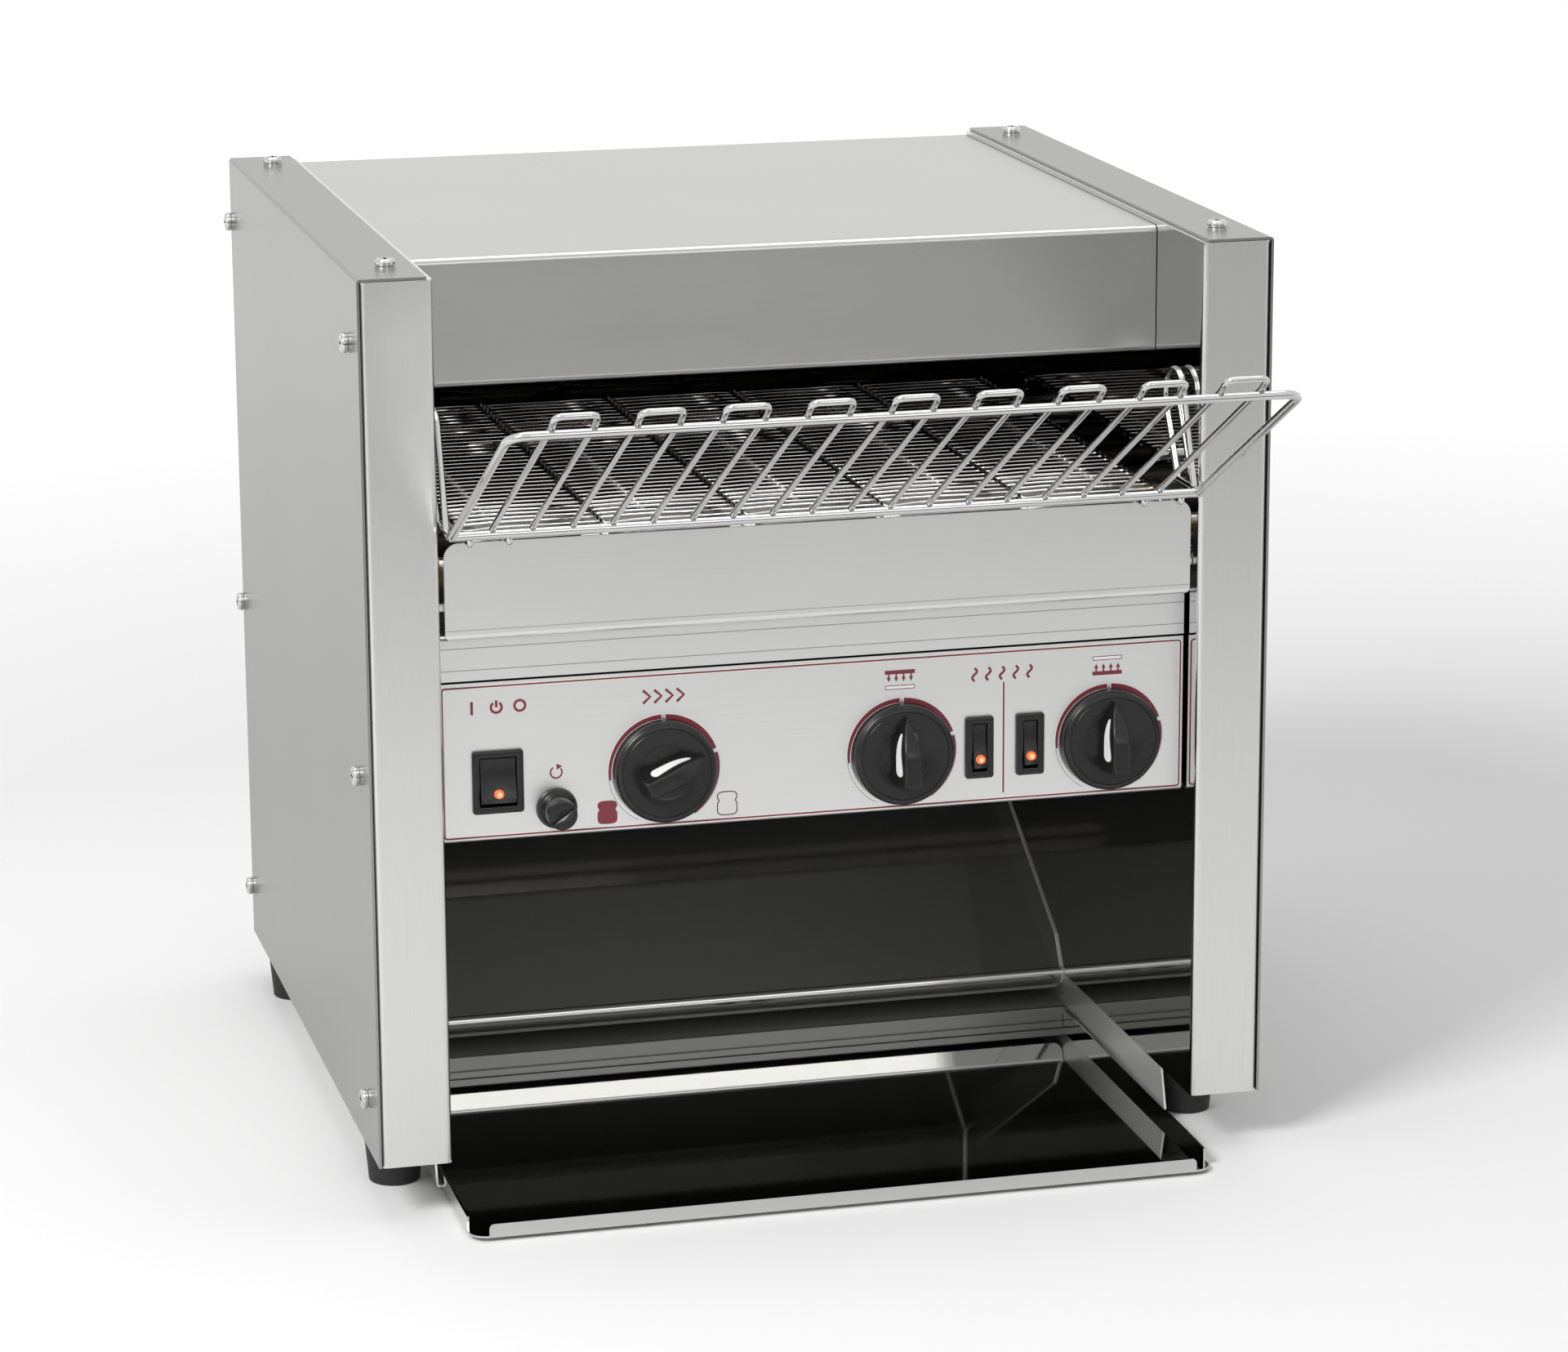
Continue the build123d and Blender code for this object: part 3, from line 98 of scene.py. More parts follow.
# Corners of a rectangle rounded off: quarter circles in turn, anticlockwise.
def roundedRectangle(width, height, corner, steps=6):
    angle = np.linspace(0, np.pi / 2, steps)[None] + np.arange(4)[:, None] * np.pi / 2
    signs = np.array([(1, 1), (-1, 1), (-1, -1), (1, -1)])[:, None]
    centre = signs * (np.array([width, height]) / 2 - corner)
    return (centre + corner * np.stack([np.cos(angle), np.sin(angle)], -1)).reshape(-1, 2)


# Flat outlines at given heights, one above the other.
def stacked(outlines, heights):
    return [np.column_stack([outline, np.full(len(outline), height)])
            for outline, height in zip(outlines, heights)]


# Sets a shape made round +Z on the panel: +Z comes out of it, the shape turned clockwise by the angle.
def onPanel(shell, x, z, turn=0.0):
    points, faces = shell
    c, s = math.cos(math.radians(turn)), math.sin(math.radians(turn))
    u, v, w = np.asarray(points, float).T
    return np.stack([x + u * c + v * s, fasciaY - w, z - u * s + v * c], -1), faces


# Adds an object with its data to the scene.
def addObject(name, data):
    item = bpy.data.objects.new(name, data)
    bpy.context.scene.collection.objects.link(item)
    return item


# One mesh object from shells in millimetres, faces turned outwards, sharp edges kept by angle.
def makePiece(name, shells, material, body, replaced=(), sharp=35.0):
    points, faces, start = [], [], 0
    for shellPoints, shellFaces in shells:
        points.append(shellPoints)
        faces += [[index + start for index in face] for face in shellFaces]
        start += len(shellPoints)
    mesh = bpy.data.meshes.new(name)
    mesh.from_pydata((np.concatenate(points) * mm).tolist(), [], faces)
    work = bmesh.new()
    work.from_mesh(mesh)
    bmesh.ops.recalc_face_normals(work, faces=work.faces)
    work.to_mesh(mesh)
    work.free()
    mesh.shade_smooth()
    mesh.set_sharp_from_angle(angle=math.radians(sharp))
    mesh.materials.append(material)
    piece = addObject(name, mesh)
    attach(piece, body)
    if replaced:
        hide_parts(*replaced)
    return piece


# Takes one piece out of another and leaves the result as plain mesh.
def cutOut(piece, shell):
    cutter = makePiece("cutter", [shell], piece.data.materials[0], "case")
    hole = piece.modifiers.new("hole", "BOOLEAN")
    hole.operation = "DIFFERENCE"
    hole.object = cutter
    hole.solver = "EXACT"
    shaped = bpy.data.meshes.new_from_object(piece.evaluated_get(bpy.context.evaluated_depsgraph_get()))
    piece.modifiers.clear()
    piece.data = shaped
    bpy.data.objects.remove(cutter)


# Wire belt: wires go across, and the link rows part them into bays.
belt = {"wires": 81, "bays": 5, "radius": 0.65, "sides": 6, "bow": 2.0, "bowPeak": 3.0, "bowReach": 10.0,
        "hookHalf": 1.4, "hookLift": 0.62, "lineInset": 1.2, "sideInset": 1.0, "clear": 2.5,
        "afterRow": (8.0, 16.0, 30.0), "beforeRow": 14.0}


# The loop's line at a length s along it and a height off it: y runs out along the top and back
# along the bottom, and the angle grows over each end's half turn.
def loopPlace(s, height):
    low, high = corners("conveyor_belt")
    turn = (high[2] - low[2]) / 2 - belt["lineInset"]
    frontY = low[1] + turn + belt["lineInset"]
    straight = high[1] - low[1] - 2 * (turn + belt["lineInset"])
    arc = np.pi * turn
    s = s % (2 * (straight + arc))
    along = np.clip(s, 0, straight) - np.clip(s - straight - arc, 0, straight)
    angle = (np.clip(s - straight, 0, arc) + np.clip(s - 2 * straight - arc, 0, arc)) / turn
    out = np.stack([0 * angle, np.sin(angle), np.cos(angle)], -1)
    centre = np.stack([0 * angle, frontY + along, 0 * angle + (low[2] + high[2]) / 2], -1)
    return centre + out * (turn + height)[..., None], out, 2 * (straight + arc)


# Each cross wire runs straight over a bay, and at a link row bends back, over and under the wire behind.
def beltWires():
    low, high = corners("conveyor_belt")
    rows = np.linspace(low[0] + belt["sideInset"], high[0] - belt["sideInset"], belt["bays"] + 1)
    half = belt["hookHalf"]
    pitch = loopPlace(np.zeros(1), np.zeros(1))[2] / belt["wires"]
    hook = np.array([(-1.0, 0.0, 0.0), (-0.66, 0.42, 0.75), (-0.24, 0.9, 1.0), (0.18, 1.1, 0.1),
                     (0.37, 0.9, -0.95), (0.66, 0.35, -0.75), (1.0, 0.0, 0.0)])
    hook = hook * (half, pitch, belt["hookLift"])  # across, back to the next wire, and up
    path = []
    for left, right in zip(rows, rows[1:]):
        bend = hook[3:] if left == rows[0] else hook  # the first row has only the inner part
        bay = np.array([left + half + belt["clear"], *(left + reach for reach in belt["afterRow"]),
                        right - belt["beforeRow"], right - half - belt["clear"]])
        path += [bend + (left, 0, 0), np.column_stack([bay, 0 * bay, 0 * bay])]
    path.append(hook[:5] + (rows[-1], 0, 0))  # and the last only the outer part
    x, back, height = np.concatenate(path).T
    pastRow = x - rows[np.searchsorted(rows, x - 0.5 * half) - 1]
    sag = -belt["bow"] * np.exp(-((pastRow - belt["bowPeak"]) / belt["bowReach"]) ** 2)
    sag = sag * (pastRow > half - 0.1)  # none on the hooks themselves
    s = (np.arange(belt["wires"])[:, None] + 0.5) * pitch + (back + sag)[None]
    line, out, _ = loopPlace(s, np.broadcast_to(height, s.shape))
    line[..., 0] = x
    ahead = np.concatenate([line[:, 1:], line[:, -1:]], 1)
    behind = np.concatenate([line[:, :1], line[:, :-1]], 1)
    tangent = unit(ahead - behind)
    side = unit(np.cross(tangent, out))
    normal = np.cross(side, tangent)
    angle = np.linspace(0, 2 * np.pi, belt["sides"], endpoint=False)[:, None]
    ring = np.cos(angle) * normal[:, :, None] + np.sin(angle) * side[:, :, None]
    points = line[:, :, None] + ring * belt["radius"]
    return [loftShell(wire) for wire in points]


# Knobs: round skirt with a dished face, and a fin grip with a white inlay in its flanks.
knob = {"radius": 24.5, "bore": 4.0, "standoff": 1.0, "skirt": 6.5, "edge": 2.9, "rimInset": 0.3,
        "dishRadius": 12.6, "dishDepth": 0.5, "tip": 19.5, "tail": 14.5, "half": 5.75, "grip": 14.0,
        "tipHeight": 2.4, "crest": 1.5, "crestDrop": 0.6, "draft": 0.125, "tailLean": 0.15,
        "leanReach": 12.0, "corner": 1.2, "edgeSetback": 0.9, "sink": 1.2}


# Skirt: side, quarter-round rim, a fine groove inside it, a shallow cone and a flat dish.
def knobSkirt():
    top = knob["standoff"] + knob["skirt"]
    edge, r = knob["edge"], knob["radius"]
    turn = np.radians(np.linspace(0, 90, 9))
    inner = r - knob["rimInset"] - edge
    rim = np.column_stack([inner + edge * np.cos(turn), top - edge + edge * np.sin(turn)])
    dish, foot = knob["dishRadius"], knob["standoff"]
    floor = top - knob["dishDepth"] - 0.3
    face = [(inner - 0.25, top - 0.22), (inner - 0.5, top - 0.02), (dish + 4, top - 0.12),
            (dish + 0.6, top - 0.3), (dish, top - 0.45), (dish - 0.7, floor + 0.05),
            (knob["bore"], floor), (0.5, floor)]
    return turnedShell([(knob["bore"], foot), (r - 0.5, foot), (r, foot + 0.4), *rim.tolist(), *face])


# Half width and height of the grip along v: square behind the axis, drawn to a point ahead of it.
def gripSize(v):
    crest, tail = knob["crest"], knob["tail"]
    share = np.clip(v / knob["tip"], 0, 1)
    half = knob["half"] * (1 - share ** 2.3)
    fall = np.clip((v - crest) / (knob["tip"] - crest), 0, 1)
    level = knob["grip"] - knob["crestDrop"] * (np.clip(v, -tail, crest) + tail) / (tail + crest)
    return half, knob["tipHeight"] + (level - knob["tipHeight"]) * (1 - fall ** 1.5)


# How far the grip leans ahead per height: most at the tail, none beyond the lean's reach.
def gripLean(v):
    return knob["tailLean"] * np.clip(1 - (v + knob["tail"]) / knob["leanReach"], 0, 1)[:, None]


# The grip's section at each station is a trapezium with rounded shoulders; the end sections shrink.
def knobGrip():
    tail, base = knob["tail"], knob["standoff"] + knob["skirt"]
    v = np.append([-tail, -tail + 0.25, -tail + 1.0], np.linspace(-tail + 2.0, knob["tip"] - 0.4, 26))
    half, height = gripSize(v)
    shrink = np.zeros(len(v))
    shrink[:2] = knob["edgeSetback"], 0.3
    corner = np.minimum(knob["corner"], half * 0.6)
    turn = np.radians(np.linspace(0, 90, 6))
    top = height - shrink
    shoulder = np.maximum(half - knob["draft"] * height - shrink, 0.05)
    right = np.stack([shoulder[:, None] - corner[:, None] * (1 - np.cos(turn)),
                      top[:, None] - corner[:, None] * (1 - np.sin(turn))], -1)
    foot = np.stack([half - shrink, 0 * half], -1)[:, None]
    rightSide = np.concatenate([foot, right], 1)
    section = np.concatenate([rightSide, rightSide[:, ::-1] * (-1, 1)], 1)
    ahead = v[:, None] + gripLean(v) * section[..., 1]
    sunk = knob["sink"] * (section[..., 1] <= 0)  # only the foot is let into the dish
    return loftShell(np.stack([section[..., 0], ahead, section[..., 1] + base - sunk], -1))


# White strip moulded into both flanks of a grip.
inlay = {"from": -8.4, "to": 12.2, "half": 3.9, "low": 6.7, "fall": 2.4, "round": 0.14, "proud": 0.12,
         "depth": 0.5}


# A teardrop strip on one flank: round at the tail, drawn out towards the tip.
def knobInlay(side):
    share = (1 - np.cos(np.linspace(0.02, 0.98, 25) * np.pi)) / 2
    v = inlay["from"] + (inlay["to"] - inlay["from"]) * share
    tail = np.clip(1 - (1 - share / inlay["round"]).clip(0) ** 2, 0, 1)
    width = inlay["half"] * np.sqrt(tail * (1 - share))
    w = (inlay["low"] - inlay["fall"] * share)[:, None] + width[:, None] * np.linspace(-1, 1, 5)
    half = gripSize(v)[0][:, None] - knob["draft"] * w
    ahead = v[:, None] + gripLean(v) * w
    height = w + knob["standoff"] + knob["skirt"]
    outer = np.stack([side * (half + inlay["proud"]), ahead, height], -1)
    inner = np.stack([side * (half - inlay["depth"]), ahead, height], -1)
    return loftShell(np.concatenate([outer, inner[:, ::-1]], 1))


# Rocker switches: housing, rocker and lamp lens.
switch = {"proud": 2.0, "rim": 3.3, "corner": 1.5, "edge": 0.7, "bodyInset": 1.3, "bodyDepth": 21.0,
          "pocketDepth": 16.0}
rocker = {"tilt": 9.0, "pinDepth": 4.0, "front": 4.6, "back": 6.0, "reach": 10.5, "dip": 1.0, "play": 0.35,
          "lip": 2.1, "lipBack": 1.9, "edge": 0.35, "shoulder": 1.0, "backHalf": 4.9, "topDrop": 1.2,
          "lampPlace": 6.3, "lampRadius": 2.4, "lampSink": 0.55}


# Housing as one run of rounded rectangles: up the pocket's wall, over the bezel, down to the rear.
# Each step holds how far it is set back from the outline, its height over the panel and its corner.
def switchHousing(node):
    low, high = corners(node)
    width, height = high[0] - low[0], high[2] - low[2]
    rim, edge, inset = switch["rim"], switch["edge"], switch["bodyInset"]
    proud, corner = switch["proud"], switch["corner"]
    steps = [(rim, -switch["pocketDepth"], 0.6), (rim, proud - 0.45, 0.6), (rim - 0.15, proud - 0.15, 0.75),
             (rim - 0.5, proud, 1.0), (edge, proud, 0.9), (0.2, proud - 0.25, 1.3),
             (0.0, proud - 0.7, corner), (0.0, 0.0, corner), (inset, 0.0, 0.5),
             (inset, -switch["bodyDepth"], 0.5)]
    outlines = [roundedRectangle(width - 2 * setback, height - 2 * setback, radius)
                for setback, _, radius in steps]
    shell = loftShell(stacked(outlines, [depth for _, depth, _ in steps]))
    return onPanel(shell, middle(node)[0], middle(node)[2])


# Tips a shape made round the rocker's pin by its tilt and sets it in its housing.
def rockerPlace(shell, housing):
    x, _, z = middle(housing)
    points, faces = shell
    u, v, w = np.asarray(points, float).T
    c, s = math.cos(math.radians(rocker["tilt"])), math.sin(math.radians(rocker["tilt"]))
    pinY = fasciaY - switch["proud"] + rocker["pinDepth"]
    return np.stack([x + u, pinY - (w * c - v * s), z + v * c + w * s], -1), faces


# Rocker from the side: hollow face, a lip at the lower end, tapered back; narrowed at both flanks.
def rockerShell(housing):
    low, high = corners(housing)
    half = (high[0] - low[0]) / 2 - switch["rim"] - rocker["play"]
    front, reach, lip = rocker["front"], rocker["reach"], rocker["lip"]
    v = np.linspace(reach, lip - reach, 15)
    deepest = (v[0] + v[-1]) / 2
    dip = rocker["dip"] * (1 - ((v - deepest) / (v[0] - deepest)) ** 2)
    face = np.column_stack([v, front - dip])
    shoulder, backHalf, rear = -rocker["shoulder"], rocker["backHalf"], -rocker["back"]
    back = [(-reach, front - rocker["lipBack"]), (-reach, shoulder), (-backHalf, rear), (backHalf, rear),
            (reach, shoulder)]
    side = np.concatenate([[(reach + 0.1, front - rocker["topDrop"])], face, back])
    inward = unit(np.array([0.0, -0.5]) - side)  # towards the middle of the side view
    edge = rocker["edge"]
    rounding = [(half, edge), (half - 0.4 * edge, 0.3 * edge), (half - edge, 0)]
    stations = [(-x, shrink) for x, shrink in rounding] + rounding[::-1]
    outlines = [np.column_stack([np.full(len(side), x), side + inward * shrink]) for x, shrink in stations]
    return rockerPlace(loftShell(outlines), housing)


# Lamp lens: a low dome standing in the rocker's face.
def lampShell(housing, profile):
    points, faces = turnedShell(profile, 40)
    points = points + (0, -rocker["lampPlace"], rocker["front"] - rocker["dip"] * rocker["lampSink"])
    return rockerPlace((points, faces), housing)


# Reset cap: stepped ring, coved root, round cap with a coin slot.
cap = {"ringRadius": 9.6, "ring": 3.0, "radius": 7.0, "length": 12.0, "cove": 2.2, "slot": 1.6,
       "slotDepth": 1.3, "slotReach": 6.3, "slotTurn": 35.0, "bore": 5.6, "boreRoof": 3.0}


# Turned from its outline: the bore, the ring with a groove round it, the cove as a quarter turn, the cap.
def capShell():
    ring, r, reach = cap["ring"], cap["radius"], cap["ring"] + cap["length"]
    turn = np.radians(np.linspace(0, 90, 8))
    cove = np.column_stack([r + cap["cove"] * (1 - np.sin(turn)),
                            ring + 1.4 * cap["cove"] * (1 - np.cos(turn))])
    edge = [(0.6, 0.0), (0.15, 0.25), (0, 0.8), (0, 1.3), (0.35, 1.55), (0.5, 1.7), (0.3, 1.9), (0.25, 2.3),
            (0.4, 2.8), (0.7, ring)]  # inwards from the ring's radius, and height
    profile = [(cap["bore"], reach - cap["boreRoof"]), (cap["bore"], 0.0),
               *[(cap["ringRadius"] - inwards, height) for inwards, height in edge], *cove.tolist(),
               (r, reach - 0.8), (r - 0.25, reach - 0.25), (r - 0.8, reach), (0.4, reach)]
    return turnedShell(profile)


# Prints on the panel: thin plates and bands, a white undercoat at height 0 and the inks over it.
ink = {"lift": 0.03, "thick": 0.05}


# A flat closed outline of (x, z) as a thin plate lying on the panel.
def plate(outline, lift=ink["lift"], thick=ink["thick"]):
    outline = np.asarray(outline, float)
    return onPanel(loftShell(stacked([outline, outline], [lift, lift + thick])), 0, 0)


# A band of given width along a line of (x, z) points: both edges lie half a width off the line.
def band(line, width, lift=ink["lift"], closed=False):
    line = np.asarray(line, float)
    if closed:
        ahead, behind = np.roll(line, -1, 0), np.roll(line, 1, 0)
    else:
        ahead, behind = np.concatenate([line[1:], line[-1:]]), np.concatenate([line[:1], line[:-1]])
    tangent = unit(ahead - behind)
    half = (np.broadcast_to(width, len(line)) / 2)[:, None]
    aside = np.column_stack([-tangent[:, 1], tangent[:, 0]]) * half
    top = lift + ink["thick"]
    around = [(aside, lift), (aside, top), (-aside, top), (-aside, lift)]
    ring = np.stack([np.column_stack([line + off, np.full(len(line), z)]) for off, z in around], 1)
    if closed:
        return onPanel((ring.reshape(-1, 3), gridFaces(len(line), 4, True, True)), 0, 0)
    return onPanel(loftShell(ring), 0, 0)


# Points on a circle, angles clockwise from 12 o'clock.
def arcLine(x, z, radius, start, end, steps=40):
    angle = np.radians(np.linspace(start, end, steps))
    return np.column_stack([x + radius * np.sin(angle), z + radius * np.cos(angle)])


# Scale round a knob, angles clockwise from 12 o'clock.
dial = {"outer": 26.5, "from": -97.0, "to": 147.0, "thinFrom": -152.0, "breaks": (0.0, 73.0), "gap": 2.2,
        "narrow": 1.2, "wide": 3.2, "halo": 0.34, "hairline": 0.22, "hairInset": 0.1, "hairHalo": 1.0}


# A band that widens clockwise, broken at two ticks, and a hairline at its left. The undercoat is wider by
# the halo on each side, and longer by the halo's angle on the circle.
def dialBands(x, z):
    red, light = [], []
    outer, pad = dial["outer"], np.degrees(dial["halo"] / dial["outer"])
    gaps = [at + side * dial["gap"] for at in dial["breaks"] for side in (-1, 1)]
    for start, end in zip([dial["from"], *gaps[1::2]], [*gaps[::2], dial["to"]]):
        share = (np.linspace(start, end, 40) - dial["from"]) / (dial["to"] - dial["from"])
        width = dial["narrow"] + (dial["wide"] - dial["narrow"]) * share ** 0.7
        red.append(band(arcLine(x, z, outer - width / 2, start, end), width))
        light.append(band(arcLine(x, z, outer - width / 2, start - pad, end + pad),
                          width + 2 * dial["halo"], 0.0))
    halo = arcLine(x, z, outer - dial["hairHalo"] / 2, dial["thinFrom"], dial["from"])
    light.append(band(halo, dial["hairHalo"], 0.0))
    hair = arcLine(x, z, outer - dial["hairInset"], dial["thinFrom"], dial["from"])
    return red, light, band(hair, dial["hairline"])


# Where a sign stands: beside the middle of its control, and down from the panel's upper edge.
def signPlace(sign):
    return middle(sign["over"])[0] + sign["aside"], corners("control_fascia")[1][2] - sign["down"]


bread = {"width": 9.4, "height": 11.2, "line": 0.5, "pinch": 0.17, "pinchAt": 0.62, "pinchReach": 0.085,
         "dark": {"over": "speed_spindle", "aside": -27.2, "down": 66.0},
         "plain": {"over": "speed_spindle", "aside": 30.0, "down": 65.8}}


# Slice of bread: a box with rounded corners, pinched below its crown.
def breadOutline(sign):
    x, z = signPlace(sign)
    t = (1 - np.cos(np.linspace(0, np.pi, 41))) / 2
    pinch = 1 - bread["pinch"] * np.exp(-((t - bread["pinchAt"]) / bread["pinchReach"]) ** 2)
    half = bread["width"] / 2 * (1 - abs(2 * t - 1) ** 7) ** (1 / 3.2) * pinch
    up = np.column_stack([x + half[1:-1], z + (t[1:-1] - 0.5) * bread["height"]])
    return np.concatenate([up, (up * (-1, 1) + (2 * x, 0))[::-1]])


# Grill signs over the two heat knobs.
heatIcon = {"width": 14.6, "bar": 1.9, "slot": 2.1, "arrows": 4, "pitch": 3.605, "arrow": 3.7, "head": 2.2,
            "headHalf": 1.05, "shaft": 0.75, "overlap": 0.1, "gap": 1.6, "corner": 0.05, "line": 0.36,
            "lineInset": 0.4,
            "top_heat": {"over": "top_heat_spindle", "aside": -0.9, "down": 12.1, "side": -1},
            "bottom_heat": {"over": "bottom_heat_spindle", "aside": -1.1, "down": 11.9, "side": 1}}


# A solid bar, arrows away from it, and an open bar; side is -1 with the solid bar on top.
def heatSign(sign):
    x, z = signPlace(sign)
    side, width, corner = sign["side"], heatIcon["width"], heatIcon["corner"]
    bar, slot, reach = heatIcon["bar"], heatIcon["slot"], heatIcon["arrow"]
    total = bar + reach + heatIcon["gap"] + slot
    base = z - side * total / 2
    start = base + side * (bar - heatIcon["overlap"])
    neck = base + side * (bar + reach - heatIcon["head"])
    tip = base + side * (bar + reach)
    s, h = heatIcon["shaft"] / 2, heatIcon["headHalf"]
    red = [plate(roundedRectangle(width, bar, corner, 2) + (x, base + side * bar / 2))]
    for index in range(heatIcon["arrows"]):
        u = x + (index - (heatIcon["arrows"] - 1) / 2) * heatIcon["pitch"]
        red.append(plate([(u - s, start), (u - s, neck), (u - h, neck), (u, tip), (u + h, neck),
                          (u + s, neck), (u + s, start)]))
    place = (x, base + side * (total - slot / 2))
    light = [plate(roundedRectangle(width, slot, corner, 2) + place, 0.0)]
    inset = heatIcon["lineInset"]
    frameLine = roundedRectangle(width - inset, slot - inset, corner, 2) + place
    red.append(band(frameLine, heatIcon["line"], closed=True))
    return red, light


# Signs in place of words: on and off marks, chevrons for speed, waves for heat, an arrow for reset.
signs = {
    "power": {"over": "power_switch_body", "aside": 0.0, "down": 12.0, "tall": 6.2, "line": 1.2,
              "barAside": -11.5, "barLine": 1.25, "ringAside": 11.0, "opening": 35.0, "sink": 0.2},
    "speed": {"over": "speed_spindle", "aside": -0.1, "down": 12.1, "tall": 6.2, "line": 1.3,
              "from": -9.5, "to": 6.5, "count": 4, "depth": 3.4},
    "heat": {"over": "top_heat_switch_body", "aside": 11.2, "down": 12.2, "tall": 6.2, "line": 1.15,
             "reach": 13.5, "count": 5, "depth": 1.1},
    "reset": {"over": "reset_pin", "aside": 0.1, "down": 45.1, "radius": 2.7, "line": 0.75,
              "from": 50.0, "to": 330.0, "headHalf": 1.5, "headReach": 2.7},
}


# The power sign is a bar, an open ring with a stroke and a ring; chevrons and waves stand in even rows.
def signShells():
    sign = signs["power"]
    x, z = signPlace(sign)
    half, line = sign["tall"] / 2, sign["line"]
    ring, low = half - line / 2, z - sign["sink"]
    barX = x + sign["barAside"]
    shells = [band([(barX, z - half), (barX, z + half)], sign["barLine"]),
              band(arcLine(x + sign["ringAside"], z, ring, 0, 351), line, closed=True),
              band(arcLine(x, low, ring, sign["opening"], 360 - sign["opening"]), line),
              band([(x, low), (x, z + half)], line)]
    sign = signs["speed"]
    x, z = signPlace(sign)
    half = sign["tall"] / 2
    for u in x + np.linspace(sign["from"], sign["to"], sign["count"]):
        shells.append(band([(u, z - half), (u + sign["depth"], z), (u, z + half)], sign["line"]))
    sign = signs["heat"]
    x, z = signPlace(sign)
    share = np.linspace(-0.5, 0.5, 25)
    for u in x + np.linspace(-sign["reach"], sign["reach"], sign["count"]):
        wave = u + sign["depth"] * np.sin(2 * np.pi * share)
        shells.append(band(np.column_stack([wave, z + share * sign["tall"]]), sign["line"]))
    sign = signs["reset"]
    x, z = signPlace(sign)
    r, half = sign["radius"], sign["headHalf"]
    shells.append(band(arcLine(x, z, r, sign["from"], sign["to"]), sign["line"]))
    shells.append(plate([(x + 0.2, z + r + half), (x + 0.2, z + r - half),
                         (x + 0.2 + sign["headReach"], z + r + 0.1)]))
    return shells


# Line round the panel, and the line between its two halves.
border = {"inset": 1.3, "bottom": 2.6, "top": 2.1, "corner": 1.4, "line": 0.8, "halo": 1.3}
divider = {"over": "top_heat_switch_body", "aside": 12.0, "down": 16.7, "up": 5.5, "line": 0.9, "halo": 1.6}


# sRGB hex to linear colour: the usual piecewise power curve of 2.4.
def colour(hexCode):
    parts = np.array([int(hexCode[i:i + 2], 16) for i in (1, 3, 5)]) / 255
    linear = np.where(parts <= 0.04045, parts / 12.92, ((parts + 0.055) / 1.055) ** 2.4)
    return (*linear.tolist(), 1.0)


# Adds a node with its settings (inputs or properties) and its links.
def addNode(tree, kind, settings=None, links=None):
    node = tree.nodes.new(kind)
    for key, value in (settings or {}).items():
        if isinstance(key, int) or key in node.inputs:
            node.inputs[key].default_value = value
        else:
            setattr(node, key, value)
    for key, source in (links or {}).items():
        tree.links.new(source, node.inputs[key])
    return node


# What finishes share; depths in millimetres; the grey tone is for painted shade.
surface = {"grainDepth": 0.05, "poreDepth": 0.1, "steelSpread": 0.04, "mouldedSpread": 0.06,
           "noiseRough": 0.6, "noiseDetail": 3.0, "paintedShadeTone": "#3a3a3a"}


# A new material with its tree and its shader.
def newMaterial(name):
    material = bpy.data.materials.new(name)
    material.use_nodes = True
    tree = material.node_tree
    return material, tree, tree.nodes["Principled BSDF"]


# Links sockets to a node's inputs by name.
def feed(tree, node, sockets):
    for name, socket in sockets.items():
        tree.links.new(socket, node.inputs[name])


# One axis of the Object coordinates, in metres.
def objectAxis(tree, axis):
    place = addNode(tree, "ShaderNodeTexCoord")
    return addNode(tree, "ShaderNodeSeparateXYZ", None, {0: place.outputs["Object"]}).outputs[axis]


# Noise on Object coordinates; along an axis its cells are stretched to the stroke's length.
def grainNoise(tree, widthMm, strokeMm, along, detail=surface["noiseDetail"]):
    place = addNode(tree, "ShaderNodeTexCoord")
    scale = [1000 / widthMm] * 3
    if along:
        scale["XYZ".index(along)] = 1000 / strokeMm
    grain = addNode(tree, "ShaderNodeMapping", {"Scale": scale}, {"Vector": place.outputs["Object"]})
    noise = addNode(tree, "ShaderNodeTexNoise",
                    {"Scale": 1.0, "Detail": detail, "Roughness": surface["noiseRough"]},
                    {"Vector": grain.outputs["Vector"]})
    return noise.outputs["Fac"]


# Tone between the finish's dark and light, led by a pattern.
def grainTone(tree, settings, pattern):
    return addNode(tree, "ShaderNodeMix", {"data_type": "RGBA", 6: colour(settings["dark"]),
                                           7: colour(settings["light"])}, {0: pattern}).outputs[2]


# Painted shade: the tone is darkened where the height is within a half width of a level, along bend lines
# and over wider zones.
def paintShadeBands(tree, tone, shadeBands):
    for height, half, depth in shadeBands:
        line = addNode(tree, "ShaderNodeMath", {"operation": "COMPARE", 1: height * mm, 2: half * mm},
                       {0: objectAxis(tree, "Z")})
        shade = addNode(tree, "ShaderNodeMath", {"operation": "MULTIPLY", 1: depth}, {0: line.outputs[0]})
        dark = addNode(tree, "ShaderNodeMix", {"data_type": "RGBA", 7: colour(surface["paintedShadeTone"])},
                       {0: shade.outputs[0], 6: tone})
        tone = dark.outputs[2]
    return tone


